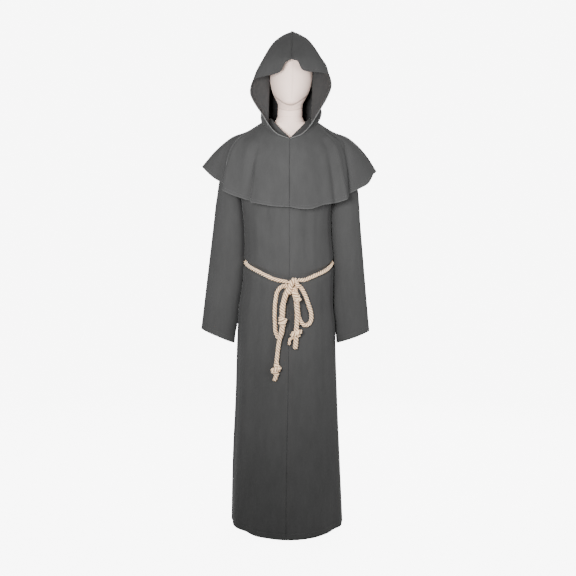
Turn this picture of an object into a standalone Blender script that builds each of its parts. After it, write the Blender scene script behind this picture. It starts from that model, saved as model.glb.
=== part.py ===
"""A monk's robe set on a limbless dress form: a full-length robe with straight sleeves, a hooded
shoulder cape and a rope belt tied in a bow.

Metres, +Z up. The costume faces -Y and the wearer's left is +X. The origin is the middle of the
stand's foot, on the floor. Every piece of cloth is an open surface worked out from the tables below
and thickened inwards by a Solidify modifier.
"""

import math

import bmesh
import bpy
import numpy as np

# Cloth
CLOTH = 0.002  # thickness of the wall
SEAM_PULL = 0.0004  # how far each outer face stays back from a smooth seam's line
RIDGE_PULL = 0.0014  # and from the line of a seam that makes a ridge, so that the walls clear inside
NECK_SEAM = 0.0018  # how far the hood starts above the cape's neck ring
ARMHOLE_PULL = 0.0022  # how far the sleeve starts outside the armhole's line
ELBOW = 3  # ring of the sleeve where its two lengths meet
ELBOW_PULL = 0.006  # and how far past it the lower one starts, in rings

# Rope
ROPE_R = 0.0063
TOUCH = 0.0003  # gap between the rope and what it lies on

# Stand
POLE_R = 0.0125
FOOT_R = 0.155
FOOT_H = 0.010
FOOT_BEVEL = 0.002
TORSO_BOTTOM = 0.800
NECK_JOINT = 1.4550  # height where the head's neck stands on the torso


def table(names, rows):
    """A table as arrays by column name."""
    return dict(zip(names.split(), np.array(rows, float).T))


# How far the costume's middle strays sideways from the stand: height, x
MIDDLE = table(
    "z x",
    ((0.02, -0.011), (0.25, -0.009), (0.55, -0.003), (0.95, 0.001), (1.375, 0.002), (1.75, 0.012)),
)

# The robe's half widths up to the armpit. right and left are the wearer's, on -X and +X
ROBE_WIDTH = table(
    "z right left",
    (
        (0.020, 0.1960, 0.2030),
        (0.280, 0.1915, 0.1885),
        (0.461, 0.1860, 0.1765),
        (0.658, 0.1825, 0.1662),
        (0.735, 0.1800, 0.1632),
        (0.800, 0.1755, 0.1556),
        (0.875, 0.1645, 0.1556),
        (0.953, 0.1590, 0.1556),
        (1.050, 0.1572, 0.1462),
        (1.150, 0.1655, 0.1470),
        (1.203, 0.1720, 0.1540),
    ),
)
# The robe's depths before and behind the side seams, at the middle
ROBE_DEPTH = table(
    "z front back",
    (
        (0.020, 0.205, 0.190),
        (0.280, 0.186, 0.172),
        (0.461, 0.172, 0.156),
        (0.658, 0.157, 0.141),
        (0.800, 0.147, 0.130),
        (0.900, 0.142, 0.124),
        (1.050, 0.146, 0.124),
        (1.203, 0.147, 0.130),
        (1.280, 0.139, 0.127),
        (1.330, 0.126, 0.118),
        (1.372, 0.102, 0.104),
        (1.400, 0.083, 0.086),
        (1.452, 0.058, 0.062),
    ),
)
HEM_LIFT = {"right": 0.012, "left": 0.0065}  # how much higher the hem hangs at the side seams
HEM_LIFT_ENDS = 0.30  # height where that lift has faded away

# The robe's shoulder line, from the armhole's top to the neckline: out from the middle, height
SHOULDER = table(
    "out z",
    ((0.2010, 1.3790), (0.1720, 1.3925), (0.1395, 1.4065), (0.0980, 1.4335), (0.0660, 1.4520)),
)
ARMPIT_Z = 1.203
NECK_FRONT_Z = 1.381
NECK_BACK_Z = 1.412

# The sleeves: rings given by their outer point, their inner point and half their depth in Y
SLEEVE = {
    "right": table(
        "outer_x outer_z inner_x inner_z depth",
        (
            (0.2010, 1.3790, 0.1720, 1.2030, 0.066),
            (0.2270, 1.3100, 0.1684, 1.1550, 0.056),
            (0.2465, 1.2180, 0.1612, 1.0900, 0.048),
            (0.2620, 1.0900, 0.1602, 1.0050, 0.043),
            (0.2785, 0.9600, 0.1628, 0.9000, 0.040),
            (0.2935, 0.8450, 0.1785, 0.7900, 0.037),
            (0.3090, 0.7180, 0.1905, 0.6670, 0.034),
        ),
    ),
    "left": table(
        "outer_x outer_z inner_x inner_z depth",
        (
            (0.2010, 1.3790, 0.1540, 1.2030, 0.066),
            (0.2230, 1.3050, 0.1495, 1.1500, 0.056),
            (0.2400, 1.2000, 0.1482, 1.0850, 0.048),
            (0.2500, 1.0800, 0.1556, 1.0000, 0.043),
            (0.2620, 0.9500, 0.1574, 0.8950, 0.040),
            (0.2740, 0.8300, 0.1610, 0.7850, 0.037),
            (0.2870, 0.7100, 0.1685, 0.6670, 0.034),
        ),
    ),
}

# The belt's height on each side by the angle round the body: 0 at the front, 180 at the back
BELT = table(
    "angle right left",
    (
        (0, 0.893, 0.893),
        (20, 0.905, 0.902),
        (35, 0.920, 0.915),
        (52, 0.934, 0.927),
        (62, 0.940, 0.934),
        (72, 0.946, 0.943),
        (90, 0.954, 0.955),
        (135, 0.972, 0.972),
        (180, 0.980, 0.980),
    ),
)
BELT_PINCH_FRONT = 0.004  # how deep the rope draws the robe in, at the front and back
BELT_PINCH_SIDE = 0.013
BELT_PINCH_HALF = 0.015  # how far above and below the rope the pinch fades
BELT_SEAT = 0.007  # how far above and below its middle the rope has pressed the cloth flat
BELT_ROWS = (-0.056, -0.034, -0.019, -BELT_SEAT, BELT_SEAT, 0.019, 0.034, 0.056)  # the cloth's rows there

# The cape's meridians by the angle round the neck: out and up at five stations from neck to hem
CAPE = table(
    "angle neck_r neck_z collar_r collar_z shoulder_r shoulder_z drop_r drop_z hem_r hem_z",
    (
        (0, 0.1250, 1.3750, 0.1340, 1.3450, 0.1470, 1.2900, 0.1620, 1.2200, 0.1760, 1.1480),
        (30, 0.1180, 1.3950, 0.1330, 1.3680, 0.1560, 1.3100, 0.1760, 1.2370, 0.1900, 1.1560),
        (60, 0.1050, 1.4290, 0.1360, 1.4010, 0.1850, 1.3530, 0.2070, 1.2710, 0.2200, 1.1820),
        (75, 0.1005, 1.4355, 0.1395, 1.4085, 0.1970, 1.3770, 0.2360, 1.3150, 0.2540, 1.2240),
        (90, 0.0993, 1.4365, 0.1405, 1.4095, 0.2030, 1.3832, 0.2620, 1.3340, 0.3060, 1.2800),
        (105, 0.1005, 1.4365, 0.1395, 1.4095, 0.1980, 1.3790, 0.2440, 1.3170, 0.2700, 1.2340),
        (120, 0.1030, 1.4350, 0.1370, 1.4030, 0.1860, 1.3520, 0.2150, 1.2750, 0.2320, 1.1920),
        (150, 0.1090, 1.4330, 0.1370, 1.3880, 0.1660, 1.3180, 0.1880, 1.2420, 0.2040, 1.1610),
        (180, 0.1120, 1.4310, 0.1380, 1.3810, 0.1610, 1.3080, 0.1800, 1.2290, 0.1920, 1.1500),
    ),
)
# Flutes of the cape: the angle of each, half its width in degrees, and how far its hem stands out or in
CAPE_FLUTES = {
    "right": table(
        "angle half_width out",
        (
            (9, 6, -0.004),
            (32, 12, 0.004),
            (51, 7, -0.013),
            (64, 6, 0.012),
            (74, 5, -0.012),
            (106, 7, -0.014),
            (128, 9, 0.010),
            (152, 10, -0.009),
        ),
    ),
    "left": table(
        "angle half_width out",
        (
            (14, 9, 0.004),
            (37, 9, -0.005),
            (57, 7, 0.005),
            (68, 5, -0.006),
            (78, 5, 0.012),
            (88, 4, -0.007),
            (103, 7, -0.013),
            (124, 9, 0.009),
            (147, 11, -0.010),
        ),
    ),
}
FLUTE_STARTS = 0.30  # share of the way from neck to hem where the flutes begin
# How much higher or lower than in the table above the hem hangs on each side, by the angle
CAPE_HEM_RISE = table(
    "angle right left",
    (
        (0, 0.000, 0.000),
        (20, 0.000, -0.011),
        (40, 0.003, -0.004),
        (60, 0.006, -0.008),
        (75, 0.005, -0.010),
        (90, 0.006, -0.012),
        (110, 0.000, -0.006),
        (180, 0.000, 0.000),
    ),
)

# The hood's ribs from the neck seam up, each through five points: out from the middle, y and z at
# the front edge (0), at a quarter (1), half (2) and three quarters (3) of the way back, and at the
# centre seam (4), where out is nothing. They go between the cape's neck ring and the brim's peak.
HOOD = table(
    "out0 y0 z0 out1 y1 z1 out2 y2 z2 out3 y3 z3 y4 z4",
    (
        (0.04, -0.121, 1.389, 0.083, -0.07, 1.43, 0.102, 0, 1.456, 0.074, 0.078, 1.46, 0.114, 1.455),
        (0.067, -0.115, 1.415, 0.09, -0.06, 1.45, 0.1, 0.005, 1.475, 0.074, 0.078, 1.485, 0.117, 1.485),
        (0.094, -0.108, 1.456, 0.09, -0.055, 1.477, 0.09, 0.01, 1.502, 0.07, 0.078, 1.515, 0.12, 1.52),
        (0.126, -0.103, 1.508, 0.099, -0.052, 1.521, 0.078, 0.015, 1.542, 0.067, 0.08, 1.558, 0.125, 1.565),
        (0.138, -0.1, 1.544, 0.109, -0.05, 1.561, 0.081, 0.015, 1.582, 0.067, 0.08, 1.601, 0.129, 1.613),
        (0.128, -0.112, 1.579, 0.118, -0.078, 1.608, 0.094, -0.01, 1.64, 0.069, 0.066, 1.662, 0.124, 1.672),
        (0.112, -0.119, 1.585, 0.105, -0.095, 1.63, 0.083, -0.038, 1.676, 0.056, 0.034, 1.708, 0.088, 1.719),
        (0.088, -0.126, 1.589, 0.086, -0.107, 1.641, 0.066, -0.056, 1.698, 0.038, -0.006, 1.729, 0.026, 1.744),
        (0.06, -0.131, 1.592, 0.066, -0.117, 1.641, 0.05, -0.078, 1.696, 0.026, -0.045, 1.725, -0.024, 1.743),
        (0.036, -0.134, 1.601, 0.042, -0.125, 1.639, 0.032, -0.104, 1.675, 0.016, -0.086, 1.699, -0.074, 1.713),
        (0.022, -0.136, 1.627, 0.024, -0.131, 1.644, 0.018, -0.121, 1.659, 0.009, -0.112, 1.67, -0.107, 1.677),
    ),
)
HOOD_RIBS = len(HOOD["out0"])
HOOD_PEAK = (0, -0.137, 1.6380)
# The hood's rise for each metre towards the wearer's left, by height
HOOD_TILT = table("z rise", ((1.43, 0), (1.53, 0.07), (1.62, 0.07), (1.70, 0), (1.76, 0)))
# The hood's slack on the wearer's left, behind the neck: how far it stands out, where, and how wide
HOOD_SLACK = {"right": 0.0, "left": 0.012}
HOOD_SLACK_Y, HOOD_SLACK_Z = 0.030, 1.472
HOOD_SLACK_DEEP, HOOD_SLACK_HIGH = 0.060, 0.036

# The form's rings from the bottom up: height, half width, depth to the front and to the back
TORSO = table(
    "z half front back",
    (
        (TORSO_BOTTOM, 0.118, 0.090, 0.082),
        (0.900, 0.124, 0.096, 0.086),
        (0.985, 0.112, 0.088, 0.078),
        (1.100, 0.122, 0.100, 0.084),
        (1.210, 0.142, 0.112, 0.094),
        (1.290, 0.163, 0.104, 0.090),
        (1.340, 0.182, 0.082, 0.076),
        (1.362, 0.191, 0.068, 0.066),
    ),
)
# The form's shoulders lie under the robe's shoulder line as far as this, then curve up to the neck
FORM_SHOULDER_DEPTH = (0.060, 0.055, 0.050)
FORM_UNDER_OUT, FORM_UNDER_Z = 0.0010, 0.0023
FORM_NECK = table(
    "z half front back",
    (
        (1.4180, 0.104, 0.050, 0.048),
        (1.4280, 0.074, 0.049, 0.047),
        (1.4400, 0.051, 0.048, 0.047),
        (NECK_JOINT, 0.043, 0.047, 0.047),
    ),
)
HEAD = table(
    "z half front back",
    (
        (NECK_JOINT + TOUCH, 0.0430, 0.047, 0.047),
        (1.4760, 0.0425, 0.050, 0.047),
        (1.4880, 0.0420, 0.064, 0.049),
        (1.4980, 0.0430, 0.079, 0.054),
        (1.5130, 0.0500, 0.087, 0.062),
        (1.5330, 0.0605, 0.092, 0.074),
        (1.5600, 0.0690, 0.095, 0.086),
        (1.6000, 0.0730, 0.096, 0.095),
        (1.6400, 0.0710, 0.092, 0.096),
        (1.6750, 0.0635, 0.080, 0.088),
        (1.7020, 0.0510, 0.062, 0.073),
        (1.7210, 0.0350, 0.039, 0.052),
        (1.7325, 0.0160, 0.014, 0.026),
    ),
)
HEAD_TOP = (0.006, 1.7362)  # y and z of the crown, just under the hood's seam


# The bow's knot, where every stretch of the rope meets, and the overhand knots in the two ends:
# middle and half sizes
BOW = ((0.010, -0.1550, 0.893), (0.0165, 0.0165, 0.0165))
KNOTS = {
    "knot_right_middle": ((-0.0225, -0.1738, 0.7660), (0.0140, 0.0120, 0.0185)),
    "knot_right_end": ((-0.0430, -0.1738, 0.6030), (0.0195, 0.0160, 0.0190)),
    "knot_left_middle": ((0.0240, -0.1740, 0.8490), (0.0170, 0.0160, 0.0195)),
    "knot_left_end": ((0.0240, -0.1660, 0.7190), (0.0190, 0.0150, 0.0155)),
}
# Where each stretch leaves the bow: the angle up from the wearer's left, and the angle forwards
BOW_EXITS = {
    "waist_right": (170, -18),
    "waist_left": (22, -30),
    "loop_right_out": (205, 0),
    "loop_right_back": (238, -20),
    "end_right": (241, 25),
    "loop_left_out": (338, 0),
    "loop_left_back": (300, -20),
    "end_left": (288, 19),
}
# The routes of the hanging stretches. The loops lie on the robe and the ends hang before them
LOOP_RIGHT = (
    (-0.022, -0.1515, 0.8810),
    (-0.0375, -0.1475, 0.8660),
    (-0.0450, -0.1475, 0.8350),
    (-0.0480, -0.1500, 0.7900),
    (-0.0470, -0.1520, 0.7550),
    (-0.0435, -0.1548, 0.7220),
    (-0.0345, -0.1585, 0.7060),
    (-0.0255, -0.1588, 0.7180),
    (-0.0220, -0.1568, 0.7450),
    (-0.0200, -0.1545, 0.7900),
    (-0.0165, -0.1520, 0.8350),
    (-0.0075, -0.1507, 0.8650),
)
LOOP_LEFT = (
    (0.0390, -0.1500, 0.8780),
    (0.0500, -0.1455, 0.8600),
    (0.0655, -0.1420, 0.8200),
    (0.0750, -0.1405, 0.7860),
    (0.0745, -0.1412, 0.7660),
    (0.0670, -0.1448, 0.7530),
    (0.0550, -0.1495, 0.7490),
    (0.0425, -0.1528, 0.7580),
    (0.0330, -0.1532, 0.7800),
    (0.0295, -0.1520, 0.8150),
    (0.0270, -0.1510, 0.8450),
    (0.0225, -0.1507, 0.8640),
)
END_RIGHT_UPPER = (
    (-0.0060, -0.1665, 0.8640),
    (-0.0170, -0.1672, 0.8350),
    (-0.0225, -0.1700, 0.8050),
    (-0.0225, -0.1738, 0.7848),
)
END_RIGHT_LOWER = (
    (-0.0225, -0.1738, 0.7472),
    (-0.0250, -0.1742, 0.7300),
    (-0.0310, -0.1728, 0.7050),
    (-0.0355, -0.1710, 0.6820),
    (-0.0395, -0.1695, 0.6500),
    (-0.0430, -0.1735, 0.6223),
)
TAIL_RIGHT = ((-0.0432, -0.1738, 0.5830), (-0.0445, -0.1735, 0.5760), (-0.0505, -0.1715, 0.5620))
END_LEFT_UPPER = ((0.0184, -0.1668, 0.8672),)
END_LEFT_LOWER = (
    (0.0245, -0.1738, 0.8289),
    (0.0275, -0.1710, 0.8000),
    (0.0270, -0.1690, 0.7650),
    (0.0245, -0.1662, 0.7348),
)
TAIL_LEFT = ((0.0235, -0.1660, 0.7032), (0.0225, -0.1650, 0.6870), (0.0210, -0.1645, 0.6690))
TAIL_LEFT_SIDE = ((0.0085, -0.1660, 0.7082), (0.0045, -0.1658, 0.7042), (0.0002, -0.1652, 0.6830))
WAIST_CLEAR = 0.0007  # gap between the belt and the robe
WAIST_FROM = 20  # angle round the body where the belt has left the bow
WAIST_STEP = 10


def curve(keys, values, at):
    """Cubic Hermite curve through values at keys, whose slope at a key comes from its neighbours."""
    keys, values, at = np.asarray(keys, float), np.asarray(values, float), np.asarray(at, float)
    slopes = np.gradient(values, keys, axis=0)
    k = np.clip(np.searchsorted(keys, at, side="right") - 1, 0, len(keys) - 2)
    step = keys[k + 1] - keys[k]
    t = np.clip((at - keys[k]) / step, 0, 1)
    for _ in values.shape[1:]:
        t, step = t[..., None], step[..., None]
    a, b = values[k], values[k + 1]
    rise = (3 - 2 * t) * t * t
    return a + (b - a) * rise + step * t * (1 - t) * ((1 - t) * slopes[k] - t * slopes[k + 1])


def middle(z):
    return curve(MIDDLE["z"], MIDDLE["x"], z)


def bump(x):
    """A soft hill, 1 at x = 0, that has run out at x = 2."""
    return np.exp(-1.4 * np.square(x))


def sign(side):
    return 1 if side == "left" else -1


def body_edge(side, z):
    """How far out the robe's panels reach at height z, and half the gap in Y between them.

    Up to the armpit that is the side seam, then the armhole's oval, then the shoulder line."""
    z = np.asarray(z, float)
    ring = {name: column[0] for name, column in SLEEVE[side].items()}
    centre_x, centre_z = (ring["outer_x"] + ring["inner_x"]) / 2, (ring["outer_z"] + ring["inner_z"]) / 2
    lift = np.clip((z - centre_z) / (ring["outer_z"] - centre_z), -1, 1)
    on_armhole = centre_x + (ring["outer_x"] - centre_x) * lift
    open_y = ring["depth"] * np.sqrt(1 - lift**2)
    on_seam = curve(ROBE_WIDTH["z"], ROBE_WIDTH[side], z)
    on_shoulder = curve(SHOULDER["z"], SHOULDER["out"], z)
    out = np.where(z <= ring["inner_z"], on_seam, np.where(z < ring["outer_z"], on_armhole, on_shoulder))
    return out, open_y


def belt_height(side, angle):
    return curve(BELT["angle"], BELT[side], angle)


def robe_surface(side, face, z, phi):
    """The outer face of the robe at height z and angle phi, 0 at the middle and pi/2 at the edge.

    A level cut is a quarter ellipse: x = out sin(phi), y = open + (depth - open) cos(phi)."""
    forward = -1 if face == "front" else 1
    out, open_y = body_edge(side, z)
    depth = curve(ROBE_DEPTH["z"], ROBE_DEPTH[face], z)
    angle = np.degrees(phi) if face == "front" else 180 - np.degrees(phi)
    beyond = np.maximum(np.abs(z - belt_height(side, angle)) - BELT_SEAT, 0)
    near = bump(beyond / BELT_PINCH_HALF)
    out = out - BELT_PINCH_SIDE * near
    depth = depth - BELT_PINCH_FRONT * near
    x = out * np.sin(phi)
    y = open_y + (depth - open_y) * np.cos(phi)
    lift = HEM_LIFT[side] * np.clip(1 - z / HEM_LIFT_ENDS, 0, 1) * np.sin(phi) ** 2
    return np.stack([middle(z) + sign(side) * x, forward * y, z + lift], -1)


def robe_heights(side, face, phi, steps):
    """Heights of the robe's rows by column: they follow the belt, then the armhole, then go to the neck."""
    skirt, chest, armhole, shoulder = steps
    hem, tip, neck = ROBE_DEPTH["z"][0], SHOULDER["z"][0], SHOULDER["z"][-1]
    angle = np.degrees(phi) if face == "front" else 180 - np.degrees(phi)
    waist = belt_height(side, angle)[None, :]
    share = np.linspace(0, 1, skirt + 1)[:-1, None]
    below = hem + (waist + BELT_ROWS[0] - hem) * share
    beside_rope = waist + np.array(BELT_ROWS)[:, None]
    share = np.linspace(0, 1, chest + 1)[1:-1, None]
    above = waist + BELT_ROWS[-1] + (ARMPIT_Z - waist - BELT_ROWS[-1]) * share
    swing = np.linspace(math.pi, 0, armhole + 1)[:, None]
    beside_arm = (ARMPIT_Z + tip) / 2 + (tip - ARMPIT_Z) / 2 * np.cos(swing) + 0 * waist
    top = np.linspace(tip, neck, shoulder + 1)[1:, None] + 0 * waist
    return np.concatenate([below, beside_rope, above, beside_arm, top])


def neck_angle(side, face, z):
    """The angle phi where the row at height z leaves the neckline, 0 below it and pi/2 at its top."""
    start = NECK_FRONT_Z if face == "front" else NECK_BACK_Z
    top = SHOULDER["z"][-1]
    share = np.clip((top - z) / (top - start), 0, 1)
    half = SHOULDER["out"][-1] * (1 - share**1.1)
    out, _ = body_edge(side, z)
    return np.arcsin(np.clip(half / out, 0, 1))


def robe_half(side, face, steps=(6, 3, 5, 4), columns=9):
    """Points of half a panel in rows from the hem up, from the middle out to the edge."""
    across = np.linspace(0, 1, columns + 1)
    z = robe_heights(side, face, across * math.pi / 2, steps)
    start = neck_angle(side, face, z)
    phi = start + (math.pi / 2 - start) * across[None, :]
    points = robe_surface(side, face, z, phi)
    forward = -1 if face == "front" else 1
    points[:, -1, 1] += forward * np.where(z[:, -1] > ARMPIT_Z, RIDGE_PULL, SEAM_PULL)
    points[-1, :-1, 1] += forward * RIDGE_PULL
    return points


def sleeve_surface(side, t, angle):
    """The sleeve at t rings from the armhole and an angle round it, 0 at the outside of the arm."""
    rings = SLEEVE[side]
    keys = np.arange(len(rings["depth"]))
    at = {name: curve(keys, column, t) for name, column in rings.items()}
    turn = np.cos(angle)
    x = (at["outer_x"] + at["inner_x"]) / 2 + (at["outer_x"] - at["inner_x"]) / 2 * turn
    z = (at["outer_z"] + at["inner_z"]) / 2 + (at["outer_z"] - at["inner_z"]) / 2 * turn
    y = at["depth"] * np.sin(angle)
    pull = ARMHOLE_PULL * np.clip(1 - t, 0, 1)
    return np.stack([middle(z) + sign(side) * (x + pull), y, z], -1)


def cape_surface(side, v, angle):
    """The cape at share v of the way from neck to hem, and an angle in degrees round the neck."""
    stations = np.array([0, 0.16, 0.45, 0.74, 1.0])
    names = ("neck", "collar", "shoulder", "drop", "hem")
    r = np.stack([curve(CAPE["angle"], CAPE[n + "_r"], angle) for n in names])
    z = np.stack([curve(CAPE["angle"], CAPE[n + "_z"], angle) for n in names])
    along = np.broadcast_to(v, np.broadcast(v, angle).shape)
    slopes_r, slopes_z = np.gradient(r, stations, axis=0), np.gradient(z, stations, axis=0)
    k = np.clip(np.searchsorted(stations, along, side="right") - 1, 0, len(stations) - 2)
    step = stations[k + 1] - stations[k]
    t = (along - stations[k]) / step

    def pick(grid, row):
        return np.take_along_axis(np.broadcast_to(grid, (len(names),) + along.shape), row[None], 0)[0]

    def blend(values, slopes):
        a, b = pick(values, k), pick(values, k + 1)
        bend = (1 - t) * pick(slopes, k) - t * pick(slopes, k + 1)
        return a + (b - a) * (3 - 2 * t) * t * t + step * t * (1 - t) * bend

    radius, height = blend(r, slopes_r), blend(z, slopes_z)
    hanging = np.clip((along - stations[2]) / (1 - stations[2]), 0, 1)
    height = height + curve(CAPE_HEM_RISE["angle"], CAPE_HEM_RISE[side], angle) * hanging**2
    grown = np.clip((along - FLUTE_STARTS) / (1 - FLUTE_STARTS), 0, 1) ** 1.5
    for at, width, out in zip(*CAPE_FLUTES[side].values()):
        radius = radius + out * grown * bump((angle - at) / width)
    turn = np.radians(angle)
    x = np.maximum(radius * np.sin(turn), SEAM_PULL)
    return np.stack([middle(height) + sign(side) * x, -radius * np.cos(turn) + 0 * x, height], -1)


def neck_ring(angle):
    """The seam between cape and hood, as out, y and z at an angle in degrees round the neck."""
    r, z = curve(CAPE["angle"], CAPE["neck_r"], angle), curve(CAPE["angle"], CAPE["neck_z"], angle)
    turn = np.radians(angle)
    return np.stack([r * np.sin(turn), -r * np.cos(turn), z], -1)


def hood_surface(side, rib, share):
    """The hood on a grid of rib numbers up from the neck seam and shares of the way from edge to seam."""
    stations = np.linspace(0, 1, 5)
    along = [neck_ring(180 * share) + (0, 0, NECK_SEAM)]
    for row in range(HOOD_RIBS):
        out = [HOOD[f"out{i}"][row] for i in range(4)] + [0]
        y, z = ([HOOD[f"{name}{i}"][row] for i in range(5)] for name in "yz")
        along.append(curve(stations, np.stack([out, y, z], -1), share))
    along.append(np.tile(HOOD_PEAK, (len(share), 1)))
    points = curve(np.arange(len(along)), np.array(along), rib)
    y, z = points[..., 1], points[..., 2]
    loose = bump((y - HOOD_SLACK_Y) / HOOD_SLACK_DEEP) * bump((z - HOOD_SLACK_Z) / HOOD_SLACK_HIGH)
    out = np.maximum(points[..., 0], 0)
    out = out + HOOD_SLACK[side] * loose * np.minimum(out / HOOD_SLACK_DEEP, 1)
    z += np.interp(z, HOOD_TILT["z"], HOOD_TILT["rise"]) * sign(side) * out
    points[..., 0] = middle(z) + sign(side) * np.maximum(out, RIDGE_PULL)
    return points


def faces_of(points, closed):
    """Quads of a grid of points, closed round each row if asked."""
    rows, columns = points.shape[:2]
    last = columns if closed else columns - 1
    number = np.arange(rows * columns).reshape(rows, columns)
    after = np.roll(number, -1, axis=1)
    corners = np.stack([number[:-1], after[:-1], after[1:], number[1:]], -1)[:, :last]
    return corners.reshape(-1, 4)


def sheet_mesh(name, grids, closed=False, flip=False):
    """A mesh of one or more grids of points, sewn where their points meet."""
    bm = bmesh.new()
    for grid, turned in grids:
        verts = [bm.verts.new(p) for p in grid.reshape(-1, 3)]
        for face in faces_of(grid, closed):
            corners = [verts[i] for i in (face[::-1] if turned != flip else face)]
            bm.faces.new(corners)
    bmesh.ops.remove_doubles(bm, verts=bm.verts, dist=0.00005)
    bmesh.ops.dissolve_degenerate(bm, edges=bm.edges, dist=0.00001)
    mesh = bpy.data.meshes.new(name)
    bm.to_mesh(mesh)
    bm.free()
    mesh.shade_smooth()
    return mesh


def place(name, data, finish):
    obj = bpy.data.objects.new(name, data)
    parts.objects.link(obj)
    obj.data.materials.append(finish)
    return obj


def cloth(name, grids, felt, **options):
    """A piece of cloth: an open sheet with a wall inside it."""
    obj = place(name, sheet_mesh(name, grids, **options), felt)
    wall = obj.modifiers.new("wall", "SOLIDIFY")
    wall.thickness = CLOTH
    wall.offset = -1
    wall.use_even_offset = False
    return obj


def lofted(name, rings, skin, tip=None):
    """A closed solid through level rings, flat at the bottom and flat or drawn to a tip at the top."""
    bm = bmesh.new()
    loops = [[bm.verts.new(p) for p in ring] for ring in rings]
    count = len(loops[0])
    for low, high in zip(loops, loops[1:]):
        for c in range(count):
            d = (c + 1) % count
            bm.faces.new((low[c], low[d], high[d], high[c]))
    bm.faces.new(list(reversed(loops[0])))
    if tip is None:
        bm.faces.new(loops[-1])
    else:
        top = bm.verts.new(tip)
        for c in range(count):
            bm.faces.new((loops[-1][c], loops[-1][(c + 1) % count], top))
    mesh = bpy.data.meshes.new(name)
    bm.to_mesh(mesh)
    bm.free()
    mesh.shade_smooth()
    return place(name, mesh, skin)


def ring(z, half, front, back, sides, shift):
    """A level ring, wider than deep, counter-clockwise from +X."""
    turn = np.linspace(0, 2 * math.pi, sides, endpoint=False)
    depth = np.where(np.sin(turn) < 0, front, back)
    return np.stack([shift + half * np.cos(turn), depth * np.sin(turn), z + 0 * turn], -1)


def tube(name, points, rope):
    """A round cord along the points."""
    data = bpy.data.curves.new(name, "CURVE")
    data.dimensions = "3D"
    data.bevel_depth = ROPE_R
    data.bevel_resolution = 2
    data.use_fill_caps = True
    spline = data.splines.new("POLY")
    spline.points.add(len(points) - 1)
    for target, p in zip(spline.points, points):
        target.co = (*p, 1)
    return place(name, data, rope)


def route(points, spacing=0.016, kept=(0, 0)):
    """Evenly spaced points on the smooth curve through a cord's own points, the kept ones apart."""
    points = np.array(points, float)
    keys = np.concatenate([[0], np.cumsum(np.linalg.norm(np.diff(points, axis=0), axis=1))])
    first, last = kept[0], len(points) - 1 - kept[1]
    fine = curve(keys, points, np.linspace(keys[first], keys[last], 400))
    run = np.concatenate([[0], np.cumsum(np.linalg.norm(np.diff(fine, axis=0), axis=1))])
    count = max(2, round(run[-1] / spacing) + 1)
    even = np.linspace(0, run[-1], count)
    between = np.stack([np.interp(even, run, fine[:, i]) for i in range(3)], -1)
    return np.concatenate([points[:first], between, points[last + 1 :]])


def from_bow(name):
    """The first two points of a stretch of rope, which leaves the bow's knot square to its face."""
    turn, forward = (math.radians(a) for a in BOW_EXITS[name])
    away = (math.cos(turn) * math.cos(forward), -math.sin(forward), math.sin(turn) * math.cos(forward))
    at, half = BOW
    return [tuple(c + (half[0] + d) * a for c, a in zip(at, away)) for d in (TOUCH, ROPE_R)]


def waist_route():
    """The belt round the body, from the bow's right side round the back to its left side."""
    points = from_bow("waist_right")
    angles = range(WAIST_FROM, 181, WAIST_STEP)
    for side, run in (("right", angles), ("left", angles[-2::-1])):
        for angle in run:
            face = "front" if angle <= 90 else "back"
            forward = -1 if face == "front" else 1
            phi = math.radians(angle if face == "front" else 180 - angle)
            z = belt_height(side, angle)
            ahead = robe_surface(side, face, z, np.array(phi))
            out = float(body_edge(side, z)[0]) - BELT_PINCH_SIDE
            depth = float(curve(ROBE_DEPTH["z"], ROBE_DEPTH[face], z))
            normal = np.array([sign(side) * math.sin(phi) / out, forward * math.cos(phi) / depth, 0])
            points.append(tuple(ahead + normal / np.linalg.norm(normal) * (ROPE_R + WAIST_CLEAR)))
    return points + from_bow("waist_left")[::-1]


def ellipsoid(name, place_and_size, rope, segments=12, rings=8):
    """A knot, drawn tight to a rounded lump."""
    at, half = place_and_size
    mesh = bpy.data.meshes.new(name)
    bm = bmesh.new()
    bmesh.ops.create_uvsphere(bm, u_segments=segments, v_segments=rings, radius=1)
    bmesh.ops.scale(bm, vec=half, verts=bm.verts)
    bm.to_mesh(mesh)
    bm.free()
    mesh.shade_smooth()
    place(name, mesh, rope).location = at


def make_belt(rope):
    ellipsoid("bow_knot", BOW, rope)
    for name, knot in KNOTS.items():
        ellipsoid(name, knot, rope)
    loops = {"right": LOOP_RIGHT, "left": LOOP_LEFT}
    upper = {"right": END_RIGHT_UPPER, "left": END_LEFT_UPPER}
    lower = {"right": END_RIGHT_LOWER, "left": END_LEFT_LOWER}
    tube("rope_waist", waist_route(), rope)
    for side in ("right", "left"):
        loop = (*from_bow(f"loop_{side}_out"), *loops[side], *from_bow(f"loop_{side}_back")[::-1])
        tube("rope_loop_" + side, route(loop, kept=(1, 1)), rope)
        tube(f"rope_end_{side}_upper", route((*from_bow("end_" + side), *upper[side]), kept=(1, 0)), rope)
        tube(f"rope_end_{side}_lower", route(lower[side]), rope)
    tube("tail_right", route(TAIL_RIGHT), rope)
    tube("tail_left", route(TAIL_LEFT), rope)
    tube("tail_left_side", route(TAIL_LEFT_SIDE), rope)


def material(name, colour, roughness, metallic=0.0):
    made = bpy.data.materials.new(name)
    made.use_nodes = True
    shader = made.node_tree.nodes["Principled BSDF"]
    shader.inputs["Base Color"].default_value = (*colour, 1)
    shader.inputs["Roughness"].default_value = roughness
    shader.inputs["Metallic"].default_value = metallic
    return made


def make_robe(felt):
    for side in ("left", "right"):
        half = robe_half(side, "front")
        half[..., 0] += sign(side) * SEAM_PULL
        cloth("robe_front_" + side, [(half, side == "left")], felt, flip=True)
    halves = [(robe_half(side, "back"), side == "right") for side in ("left", "right")]
    cloth("robe_back", halves, felt, flip=True)


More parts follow.
